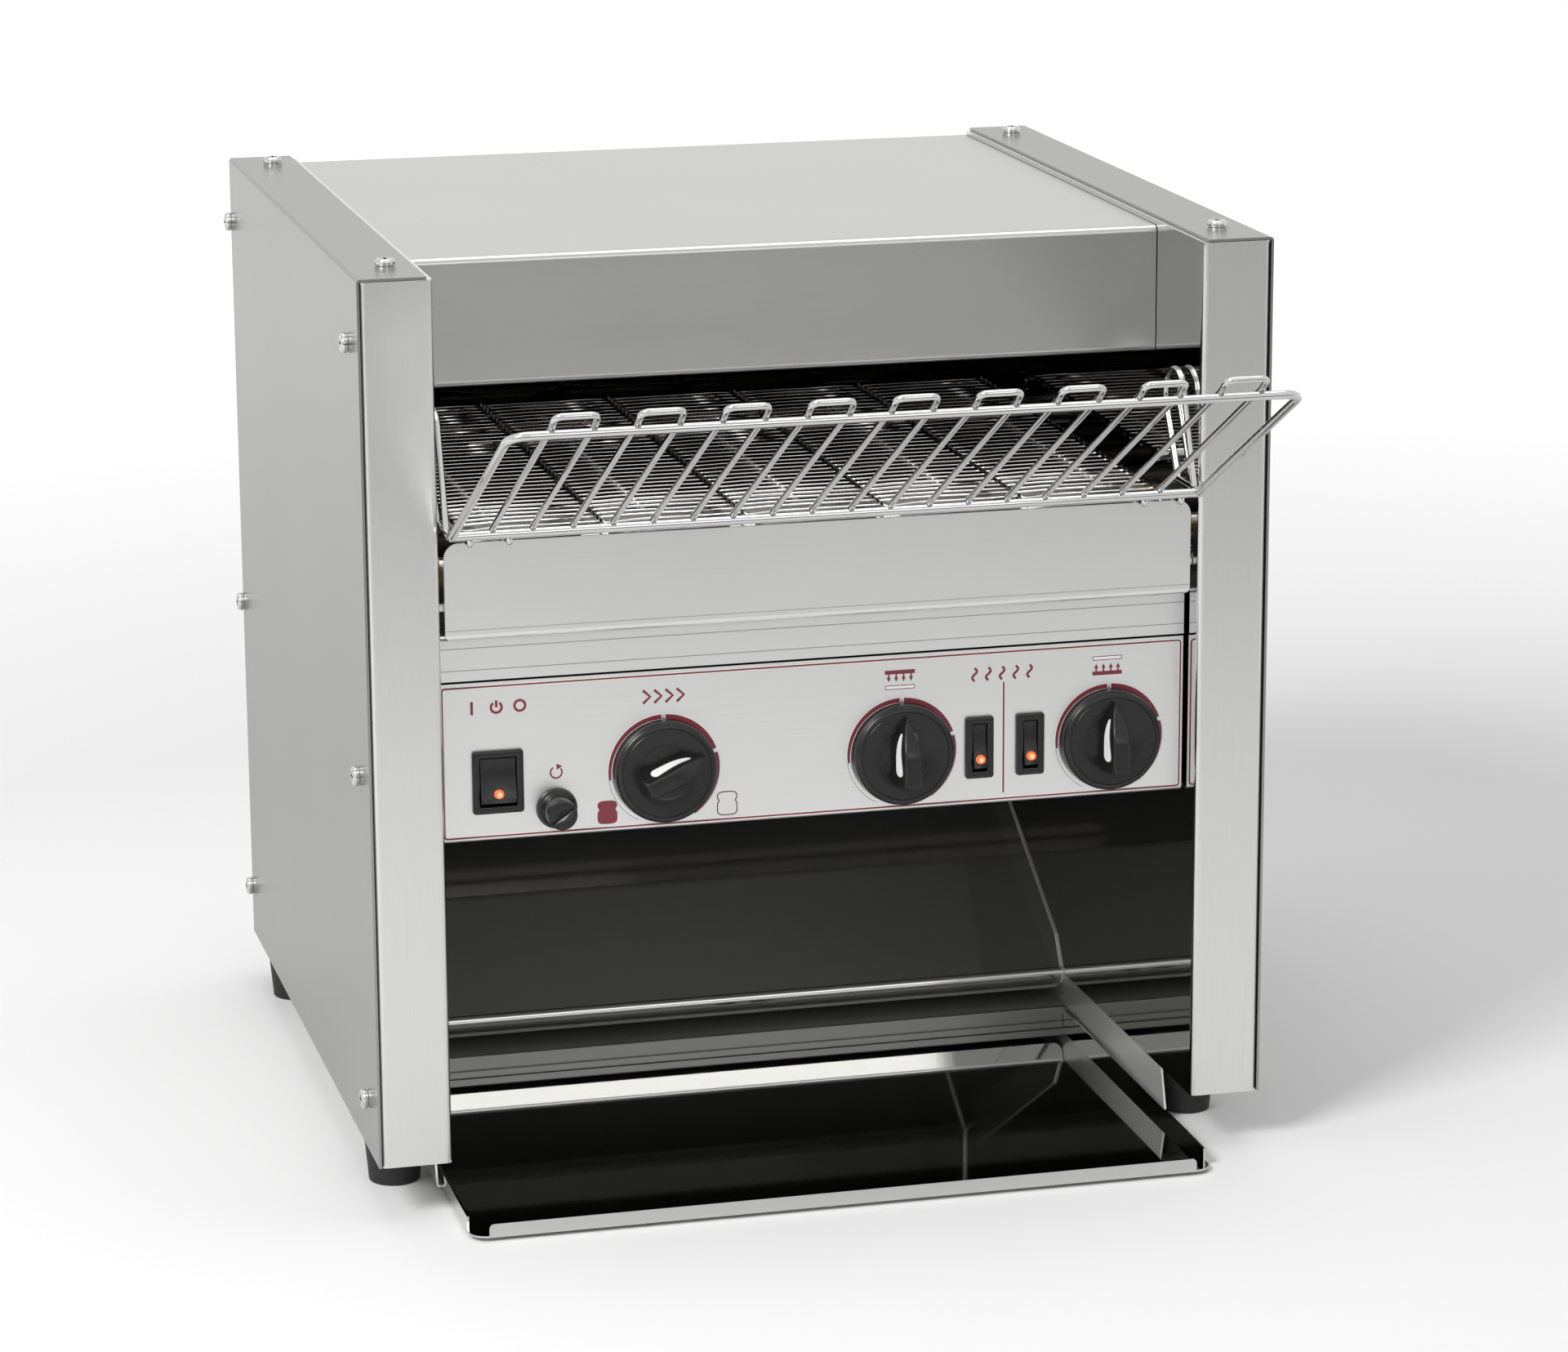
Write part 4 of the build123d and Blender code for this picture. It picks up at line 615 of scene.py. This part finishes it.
# Steel sheet or wire: grain drives tone and bump, a wide cloud drives how sharp the sheen is.
def steelFinish(name, along, settings, shadeBands=()):
    material, tree, shader = newMaterial(name)
    fine = grainNoise(tree, settings["grainMm"], settings["strokeMm"], along)
    cloud = grainNoise(tree, settings["cloudMm"], settings["cloudMm"], None, 0.0)
    # Painted shade bands, where any are given, darken the tone.
    tone = paintShadeBands(tree, grainTone(tree, settings, fine), shadeBands)
    spread = settings["rough"] * surface["steelSpread"]
    rough = addNode(tree, "ShaderNodeMapRange",
                    {3: settings["rough"] - spread, 4: settings["rough"] + spread}, {0: cloud})
    shader.inputs["Metallic"].default_value = settings.get("metallic", 1.0)
    feed(tree, shader, {"Base Color": tone, "Roughness": rough.outputs[0]})
    if settings["bump"]:
        bump = addNode(tree, "ShaderNodeBump",
                       {"Strength": settings["bump"], "Distance": surface["grainDepth"] * mm},
                       {"Height": fine})
        feed(tree, shader, {"Normal": bump.outputs["Normal"]})
    return material


# Gives a zone of a finish, where the mask is 1, another tone and another level of one input.
def markZone(material, mask, hexCode, name, outside, inside):
    tree = material.node_tree
    shader = tree.nodes["Principled BSDF"]
    plain = shader.inputs["Base Color"].links[0].from_socket
    tone = addNode(tree, "ShaderNodeMix", {"data_type": "RGBA", 7: colour(hexCode)}, {0: mask, 6: plain})
    level = addNode(tree, "ShaderNodeMapRange", {3: outside, 4: inside}, {0: mask})
    feed(tree, shader, {"Base Color": tone.outputs[2], name: level.outputs[0]})


# Beyond a distance from the middle, a pale and less metallic tone is painted along the edges as a
# highlight, where the sheet is polished.
def paintEdgeHighlight(material, settings):
    tree = material.node_tree
    across = addNode(tree, "ShaderNodeMath", {"operation": "ABSOLUTE"}, {0: objectAxis(tree, "X")})
    beyond = addNode(tree, "ShaderNodeMath", {"operation": "GREATER_THAN", 1: settings["start"] * mm},
                     {0: across.outputs[0]})
    markZone(material, beyond.outputs[0], settings["tone"], "Metallic", chuteSteel["metallic"],
             settings["metallic"])


# Behind a line, the sheet gets a darker tone as painted shade, and is less of a mirror.
def darkenAndDullBehind(material, settings):
    tree = material.node_tree
    behind = addNode(tree, "ShaderNodeMath", {"operation": "GREATER_THAN", 1: settings["start"] * mm},
                     {0: objectAxis(tree, "Y")})
    markZone(material, behind.outputs[0], settings["tone"], "Roughness", mirrorSteel["rough"],
             settings["rough"])


# Moulded plastic, rubber, ceramic, ink or paint: a fine cast grain under a soft gloss.
def mouldedFinish(name, settings):
    material, tree, shader = newMaterial(name)
    pores = grainNoise(tree, settings["poreMm"], settings["poreMm"], None)
    spread = surface["mouldedSpread"]
    rough = addNode(tree, "ShaderNodeMapRange",
                    {3: settings["rough"] - spread, 4: settings["rough"] + spread}, {0: pores})
    bump = addNode(tree, "ShaderNodeBump",
                   {"Strength": settings["bump"], "Distance": surface["poreDepth"] * mm}, {"Height": pores})
    shader.inputs["Metallic"].default_value = settings.get("metallic", 0.0)
    shader.inputs["Specular IOR Level"].default_value = settings.get("specular", 0.5)
    feed(tree, shader, {"Base Color": grainTone(tree, settings, pores), "Roughness": rough.outputs[0],
                        "Normal": bump.outputs["Normal"]})
    return material


caseSteel = {"dark": "#dadad8", "light": "#e4e4e2", "grainMm": 0.35, "strokeMm": 30.0, "cloudMm": 90.0,
             "rough": 0.34, "bump": 0.2}
# Darker copies of the case steel, as painted shade: the side covers, the columns and the hood.
sideShadedSteel = {**caseSteel, "dark": "#939391", "light": "#9d9d9b"}
columnShadedSteel = {**caseSteel, "dark": "#d2d2d0", "light": "#dcdcda"}
hoodShadedSteel = {**caseSteel, "dark": "#b4b4b2", "light": "#bebebc", "rough": 0.28}
# A darker copy of the case steel, as painted shade under the box.
boxShadeSteel = {**caseSteel, "dark": "#a4a4a2", "light": "#b0b0ae", "bump": 0.1, "metallic": 0.6}
# Darker and less metallic than the case steel.
baseSteel = {**caseSteel, "dark": "#b8b8b6", "light": "#c4c4c2", "bump": 0.1, "metallic": 0.45}
mirrorSteel = {"dark": "#c6c6c4", "light": "#cececc", "grainMm": 1.2, "strokeMm": 80.0, "cloudMm": 120.0,
               "rough": 0.035, "bump": 0.0}
chuteSteel = {**mirrorSteel, "metallic": 0.86}
runnerSteel = {**caseSteel, "dark": "#d8d8d6", "light": "#e2e2e0", "rough": 0.28, "metallic": 0.55}
wireChrome = {**mirrorSteel, "dark": "#c2c2c2", "light": "#cecece", "rough": 0.07}
# A dark copy of the mirror steel, as painted shade inside the toaster.
interiorShadeSteel = {**mirrorSteel, "dark": "#6a6866", "light": "#767472"}
beltSteel = {**mirrorSteel, "dark": "#dad8d4", "light": "#e8e6e2", "grainMm": 0.6, "strokeMm": 8.0,
             "rough": 0.16}
turnedSteel = {**mirrorSteel, "dark": "#9c9c9a", "light": "#b2b2b0", "grainMm": 0.4, "strokeMm": 6.0,
               "rough": 0.22}
oiledSteel = {**mirrorSteel, "dark": "#3c3a38", "light": "#504e4b", "grainMm": 0.5, "strokeMm": 3.0,
              "rough": 0.38}
blackMoulding = {"dark": "#161617", "light": "#202021", "poreMm": 0.45, "rough": 0.26, "bump": 0.2,
                 "specular": 0.38}
blackRubber = {"dark": "#101010", "light": "#1a1a1a", "poreMm": 0.8, "rough": 0.62, "bump": 0.3}
redInk = {"dark": "#74262f", "light": "#80303a", "poreMm": 0.6, "rough": 0.5, "bump": 0.05}
darkInk = {**redInk, "dark": "#4a2c30", "light": "#57383c"}
whiteInk = {**redInk, "dark": "#eeeeec", "light": "#f6f6f4", "poreMm": 0.7}
oxideSheath = {"dark": "#2e2b2a", "light": "#443f3c", "poreMm": 1.2, "rough": 0.5, "bump": 0.2,
               "metallic": 0.6}
bronze = {"dark": "#8a6a3c", "light": "#a07f4c", "poreMm": 0.6, "rough": 0.4, "bump": 0.1, "metallic": 1.0}
ceramic = {"dark": "#d8d4c8", "light": "#e8e4d8", "poreMm": 0.9, "rough": 0.6, "bump": 0.2}
enamel = {"dark": "#191919", "light": "#242424", "poreMm": 1.5, "rough": 0.35, "bump": 0.15}
phenolic = {"dark": "#8c877c", "light": "#a09b8f", "poreMm": 0.8, "rough": 0.5, "bump": 0.15}
# Painted shade as (height, half width, depth), placed from the edges of their sheets: along bends, on the
# panel's return and over the chute's upper part.
lidTop, guardFoot = corners("control_box_lid")[1][2], corners("belt_front_guard")[0][2]
# Painted shade along the lid's two bends and the guard's bend.
lidBendShade = [(lidTop - 16.6, 0.22, 0.55), (lidTop - 6.2, 0.22, 0.55)]
guardBendShade = [(guardFoot + 5.0, 0.22, 0.4)]
# Painted shade along the panel's foot and its return.
fasciaReturnShade = [(corners("control_fascia")[0][2], 0.5, 0.85)]
# Painted shade over the chute's upper part.
chuteSlopeShade = [(corners("toast_chute")[1][2] - 42.0, 100.0, 0.9)]
# Painted shade on the tray's rear strip.
trayRearShade = {"start": corners("toast_tray")[1][1] - 2.3, "tone": "#747472", "rough": 0.3}
# A painted highlight along the chute's side edges.
chuteEdgeHighlight = {"start": wallX - 1.05, "tone": "#e6e6e4", "metallic": 0.2}

lens = {"rim": "#e85612", "core": "#fff0c0", "resin": "#c04a10", "rough": 0.12, "strength": 1.0}


# Amber polycarbonate lit from behind: it glows orange, with a pale yellow core where the lamp sits.
def litLens():
    material, tree, shader = newMaterial("lit amber polycarbonate")
    glow = addNode(tree, "ShaderNodeAttribute", {"attribute_name": "glow"})
    tint = addNode(tree, "ShaderNodeMix",
                   {"data_type": "RGBA", 6: colour(lens["rim"]), 7: colour(lens["core"])},
                   {0: glow.outputs["Fac"]})
    shader.inputs["Base Color"].default_value = colour(lens["resin"])
    shader.inputs["Roughness"].default_value = lens["rough"]
    shader.inputs["Emission Strength"].default_value = lens["strength"]
    feed(tree, shader, {"Emission Color": tint.outputs[2]})
    return material


# Tower: brushed column in front, polished inner wall; the mask falls from 1 to 0 within the wall's sheet.
def towerSteel():
    # The column's steel is a darker copy, as painted shade.
    material = steelFinish("stainless tower, brushed outside and polished inside", "Z", columnShadedSteel)
    tree = material.node_tree
    across = addNode(tree, "ShaderNodeMath", {"operation": "ABSOLUTE"}, {0: objectAxis(tree, "X")})
    inside = addNode(tree, "ShaderNodeMapRange",
                     {1: (wallX + 0.1) * mm, 2: (wallX + 0.8) * mm, 3: 1.0, 4: 0.0}, {0: across.outputs[0]})
    markZone(material, inside.outputs[0], mirrorSteel["light"], "Roughness", columnShadedSteel["rough"],
             mirrorSteel["rough"])
    relief = addNode(tree, "ShaderNodeMapRange", {3: columnShadedSteel["bump"], 4: 0.0}, {0: inside.outputs[0]})
    feed(tree, tree.nodes["Bump"], {"Strength": relief.outputs[0]})
    return material


# Bright annealed stainless: mirror-like, darker than the outside, with faint rolling streaks.
annealed = steelFinish("bright annealed stainless", "X", mirrorSteel)
# The tray's rear strip: a darker tone as painted shade, and rougher.
darkenAndDullBehind(annealed, trayRearShade)
# The chute: painted shade over its upper part.
slide = steelFinish("bright annealed stainless, scuffed by toast", "X", chuteSteel, chuteSlopeShade)
# A painted highlight along the chute's side edges.
paintEdgeHighlight(slide, chuteEdgeHighlight)
# Glass-filled nylon from a spark-eroded mould: satin black with a fine even grain.
blackPlastic = mouldedFinish("satin black nylon", blackMoulding)
# Drawn wire: bright, with soft ends to what it mirrors.
drawnWire = steelFinish("drawn stainless wire", "X", beltSteel)
# Screen printed ink: flat, dull and opaque.
printRed = mouldedFinish("screen printed dark red ink", redInk)
printDark = mouldedFinish("screen printed brown-black ink", darkInk)
printWhite = mouldedFinish("screen printed white ink", whiteInk)
inlayWhite = mouldedFinish("white moulded inlay", whiteInk)
litAmber = litLens()
finishes = {
    towerSteel(): ["right_side_frame", "left_side_frame"],
    annealed: ["toast_tray"],
    slide: ["toast_chute"],
    # Stainless as a dark mirror: its dark tone is painted shade inside the toaster.
    steelFinish("stainless, its dark tone painted as shade", "X", interiorShadeSteel): ["lower_reflector", "upper_reflector"],
    # Bright nickel-chrome plate on wire: a hard mirror that shows floor and dark in thin lines.
    steelFinish("bright chrome plate", "X", wireChrome): ["case_screws", "bread_rack", "rack_pegs"],
    drawnWire: ["belt_support"],
    # Turned and oiled steel: fine tool marks under a grey sheen, and nearly black under oil.
    steelFinish("turned steel", "X", turnedSteel): [
        "speed_spindle", "top_heat_spindle", "bottom_heat_spindle", "reset_pin", "front_shaft",
        "rear_shaft", "motor_shaft", "front_rollers", "rear_rollers"],
    steelFinish("oiled carbon steel", "Y", oiledSteel): ["motor_sprocket", "shaft_sprocket", "drive_chain"],
    # Mouldings, ceramic and enamel: soft highlights over fine pores, matt where nothing was polished.
    blackPlastic: ["cable_gland", "fan_frame", "fan_rotor"],
    mouldedFinish("moulded black rubber", blackRubber): ["front_feet", "rear_feet"],
    mouldedFinish("moulded phenolic resin", phenolic): [
        "speed_control", "heat_regulators", "safety_thermostat", "terminal_block"],
    mouldedFinish("unglazed ceramic", ceramic): ["heater_holders"],
    mouldedFinish("black stoved enamel", enamel): ["gearmotor"],
    mouldedFinish("oxidised alloy sheath", oxideSheath): ["upper_heaters", "lower_heaters"],
    mouldedFinish("sintered bronze", bronze): ["shaft_bushes"],
}
# Brushed stainless: fine parallel grain gives a soft sheen streaked along it. Side covers, hood and box
# floor are darker as painted shade; the base plate is darker, less metallic.
brushed = [
    ("upright grain", "Z", sideShadedSteel, (), ["right_side_cover", "left_side_cover"]),
    ("hood", "X", hoodShadedSteel, (), ["top_hood"]),
    ("level grain", "X", caseSteel, (), ["rear_panel"]),
    # Painted shade on the panel's return.
    ("panel with a shaded return", "X", caseSteel, fasciaReturnShade, ["control_fascia"]),
    # Painted shade along the lid's bends and the guard's bend.
    ("strip with painted shade along its bends", "X", caseSteel, lidBendShade, ["control_box_lid"]),
    ("guard with painted shade along its bend", "X", caseSteel, guardBendShade, ["belt_front_guard"]),
    ("runner", "Y", runnerSteel, (), ["tray_runners"]),
    # Painted shade: the box floor is a darker copy of the case steel.
    ("darker under the box as painted shade", "X", boxShadeSteel, (), ["control_box_floor"]),
    ("darker and less metallic", "X", baseSteel, (), ["base_plate"]),
]
for name, along, settings, shadeBands, names in brushed:
    finishes[steelFinish("brushed stainless, " + name, along, settings, shadeBands)] = names
for finish, names in finishes.items():
    for name in names:
        nodes[name].data.materials.clear()
        nodes[name].data.materials.append(finish)
print("materials on the CAD nodes")


# Degrees clockwise that each knob points from upright.
knobTurns = {"speed": 67.0, "top_heat": 0.0, "bottom_heat": 0.0}


# Each knob stands on its spindle: moulding and both inlays turned together.
def makeKnobs():
    for name, turn in knobTurns.items():
        x, _, z = middle(name + "_spindle")
        shells = [onPanel(shell, x, z, turn=turn) for shell in (knobSkirt(), knobGrip())]
        makePiece(name + "_knob_moulding", shells, blackPlastic, name + "_knob",
                  [name + "_knob"], 30.0)
        flanks = [onPanel(knobInlay(side), x, z, turn=turn) for side in (-1, 1)]
        makePiece(name + "_knob_inlay", flanks, inlayWhite, name + "_knob")


lensDome = {"rise": 0.8, "foot": 1.0, "rings": (2.2, 1.95, 1.7, 1.4, 1.1, 0.8, 0.5, 0.2),
            "coreAt": (0.2, -0.1), "coreSpread": 1.1}


# The lens falls as a quarter ellipse to its rim; the glow falls as a bell curve round the core.
def makeSwitches():
    r = rocker["lampRadius"]
    radii = np.array([r, r, *lensDome["rings"]])
    heights = lensDome["rise"] * np.sqrt(1 - (radii[1:] / (r + 0.05)) ** 2)
    profile = np.column_stack([radii, [-lensDome["foot"], *heights]])
    away = turnedShell(profile, 40)[0][:, :2] - lensDome["coreAt"]
    glow = np.exp(-(away ** 2).sum(1) / lensDome["coreSpread"])
    for name in ("power", "top_heat", "bottom_heat"):
        housing = name + "_switch_body"
        makePiece(name + "_switch_housing", [switchHousing(housing)], blackPlastic, "case",
                  [housing], 30.0)
        makePiece(name + "_rocker_moulding", [rockerShell(housing)], blackPlastic, name + "_rocker",
                  [name + "_rocker"], 25.0)
        dome = makePiece(name + "_lens", [lampShell(housing, profile)], litAmber, name + "_rocker",
                         [name + "_lamp"], 50.0)
        dome.data.attributes.new("glow", "FLOAT", "POINT").data.foreach_set("value", glow)


# The cap stands round the reset pin; its coin slot is cut from the face inwards.
def makeResetCap():
    x, _, z = middle("reset_pin")
    piece = makePiece("reset_cap_moulding", [onPanel(capShell(), x, z)], blackPlastic, "reset_cap",
                      ["reset_cap"], 30.0)
    reach = cap["ring"] + cap["length"]
    slot = roundedRectangle(2 * cap["slotReach"], cap["slot"], 0.3, 3)
    cutOut(piece, onPanel(loftShell(stacked([slot, slot], [reach - cap["slotDepth"], reach + 1.0])), x, z,
                          turn=-cap["slotTurn"]))


# One piece for each ink: the border lies inside the panel's edges, the dials round the spindles.
def makePrints():
    low, high = corners("control_fascia")
    red, light, dark = signShells(), [], []
    height = high[2] - low[2] - border["bottom"] - border["top"]
    edge = roundedRectangle(high[0] - low[0] - 2 * border["inset"], height, border["corner"], 8)
    edge += ((low[0] + high[0]) / 2, low[2] + border["bottom"] + height / 2)
    red.append(band(edge, border["line"], closed=True))
    light.append(band(edge, border["halo"], 0.0, closed=True))
    x, top = signPlace(divider)
    line = [(x, low[2] + divider["up"]), (x, top)]
    red.append(band(line, divider["line"]))
    light.append(band(line, divider["halo"], 0.0))
    for name in knobTurns:
        x, _, z = middle(name + "_spindle")
        redBands, lightBands, hairline = dialBands(x, z)
        red += redBands
        light += lightBands
        dark.append(hairline)
    for name in ("top_heat", "bottom_heat"):
        redSign, lightSign = heatSign(heatIcon[name])
        red += redSign
        light += lightSign
    red.append(plate(breadOutline(bread["dark"])))
    dark.append(band(breadOutline(bread["plain"]), bread["line"], closed=True))
    makePiece("panel_print_red", red, printRed, "case")
    makePiece("panel_print_white", light, printWhite, "case")
    makePiece("panel_print_dark", dark, printDark, "case")


makePiece("belt_wires", beltWires(), drawnWire, "case", ["conveyor_belt"], 60.0)
print("belt")
makeKnobs()
makeSwitches()
makeResetCap()
makePrints()
print("controls and prints")


# Places in metres, angles in degrees, lens and sensor in millimetres.
view = {"place": (-0.5732, -2.3024, 0.8126), "yaw": 14.25, "pitch": 14.11, "roll": -0.328, "lens": 115.21,
        "sensor": 36.0, "farthest": 50.0}


# The camera looks along +Y, is turned right by the yaw, down by the pitch, and rolled.
def makeCamera():
    data = bpy.data.cameras.new("camera")
    data.lens = view["lens"]
    data.sensor_width = view["sensor"]
    data.clip_end = view["farthest"]
    camera = addObject("camera", data)
    yaw, pitch, roll = (math.radians(view[key]) for key in ("yaw", "pitch", "roll"))
    facing = (Matrix.Rotation(-yaw, 3, "Z") @ Matrix.Rotation(math.pi / 2 - pitch, 3, "X")
              @ Matrix.Rotation(roll, 3, "Z"))
    camera.matrix_world = facing.to_4x4()
    camera.location = view["place"]
    bpy.context.scene.camera = camera


makeCamera()

# A key from the left, a soft one overhead, and a low strip in front that the tray's polish mirrors.
lamps = {
    "keyLeft": {"place": (-1.7, -1.3, 1.9), "aim": (0.0, 0.0, 0.2), "size": (0.9, 0.9), "watts": 52.0},
    "overhead": {"place": (0.1, 0.2, 2.2), "aim": (0.0, 0.0, 0.3), "size": (1.8, 1.2), "watts": 16.0},
    "front": {"place": (0.55, -3.0, 1.22), "aim": (0.0, 0.0, 0.1), "size": (0.9, 0.35), "watts": 3.0},
}


# Rectangular area lamps, each turned to face its aim.
def makeLamps():
    for name, lamp in lamps.items():
        data = bpy.data.lights.new(name, "AREA")
        data.shape = "RECTANGLE"
        data.size, data.size_y = lamp["size"]
        data.energy = lamp["watts"]
        light = addObject(name, data)
        light.location = lamp["place"]
        aim = Vector(lamp["aim"]) - Vector(lamp["place"])
        light.rotation_euler = aim.to_track_quat("-Z", "Y").to_euler()


makeLamps()

# Reach and cloth edge in metres: the floor's own glow rises with the distance from the middle.
studio = {"ambient": 0.45, "white": 1.0, "floorHalf": 14.0, "floorDrop": 0.5, "floorColour": "#ececec",
          "frontColour": "#808080", "reach": (0.75, 2.4), "glow": (0.0, 0.66), "clothEdge": (-1.65, -0.95)}


# True for the rays that show the background: seen directly, in metal, or through a lens.
def seenRays(tree):
    path = addNode(tree, "ShaderNodeLightPath")
    either = addNode(tree, "ShaderNodeMath", {"operation": "MAXIMUM"},
                     {0: path.outputs["Is Camera Ray"], 1: path.outputs["Is Glossy Ray"]})
    every = addNode(tree, "ShaderNodeMath", {"operation": "MAXIMUM"},
                    {0: either.outputs[0], 1: path.outputs["Is Transmission Ray"]})
    return every.outputs[0]


# Studio walls: a plain level on the object, and white where they are seen.
def makeWorld():
    world = bpy.data.worlds.new("studio")
    world.use_nodes = True
    tree = world.node_tree
    tree.nodes.clear()
    soft, wall = (addNode(tree, "ShaderNodeBackground", {"Color": (1, 1, 1, 1), "Strength": level})
                  for level in (studio["ambient"], studio["white"]))
    mix = addNode(tree, "ShaderNodeMixShader", None,
                  {0: seenRays(tree), 1: soft.outputs[0], 2: wall.outputs[0]})
    addNode(tree, "ShaderNodeOutputWorld", None, {0: mix.outputs[0]})
    bpy.context.scene.world = world


makeWorld()


# A wide pale floor that stays white where it is seen and keeps the shadow. In the metal, and as a light on
# the object, it falls off to the front, as a cloth that ends there.
def makeFloor():
    half = studio["floorHalf"]
    mesh = bpy.data.meshes.new("floor")
    mesh.from_pydata([(-half, -half, 0), (half, -half, 0), (half, half, 0), (-half, half, 0)], [],
                     [(0, 1, 2, 3)])
    material = bpy.data.materials.new("matt white floor")
    material.use_nodes = True
    tree = material.node_tree
    tree.nodes.clear()
    behindEdge = addNode(tree, "ShaderNodeMapRange", {1: studio["clothEdge"][0], 2: studio["clothEdge"][1]},
                         {0: objectAxis(tree, "Y")})
    path = addNode(tree, "ShaderNodeLightPath")
    near = addNode(tree, "ShaderNodeMath", {"operation": "MAXIMUM"},
                   {0: behindEdge.outputs[0], 1: path.outputs["Is Camera Ray"]})
    shade = addNode(tree, "ShaderNodeMix", {"data_type": "RGBA", 6: colour(studio["frontColour"]),
                                            7: colour(studio["floorColour"])}, {0: near.outputs[0]})
    paint = addNode(tree, "ShaderNodeBsdfDiffuse", None, {"Color": shade.outputs[2]})
    place = addNode(tree, "ShaderNodeTexCoord")
    away = addNode(tree, "ShaderNodeVectorMath", {"operation": "LENGTH"}, {0: place.outputs["Object"]})
    rise = addNode(tree, "ShaderNodeMapRange", {1: studio["reach"][0], 2: studio["reach"][1],
                                                3: studio["glow"][0], 4: studio["glow"][1]},
                   {0: away.outputs["Value"]})
    lit = addNode(tree, "ShaderNodeMath", {"operation": "MULTIPLY"},
                  {0: near.outputs[0], 1: rise.outputs[0]})
    strength = addNode(tree, "ShaderNodeMath", {"operation": "MULTIPLY"},
                       {0: lit.outputs[0], 1: seenRays(tree)})
    glow = addNode(tree, "ShaderNodeEmission", {"Color": (1, 1, 1, 1)}, {"Strength": strength.outputs[0]})
    both = addNode(tree, "ShaderNodeAddShader", None, {0: paint.outputs[0], 1: glow.outputs[0]})
    addNode(tree, "ShaderNodeOutputMaterial", None, {0: both.outputs[0]})
    mesh.materials.append(material)
    floor = addObject("floor", mesh)
    floor.location.z = -studio["floorDrop"] * mm  # just under the feet


makeFloor()
bpy.context.scene.view_settings.view_transform = "Standard"
print("camera, lamps and floor")
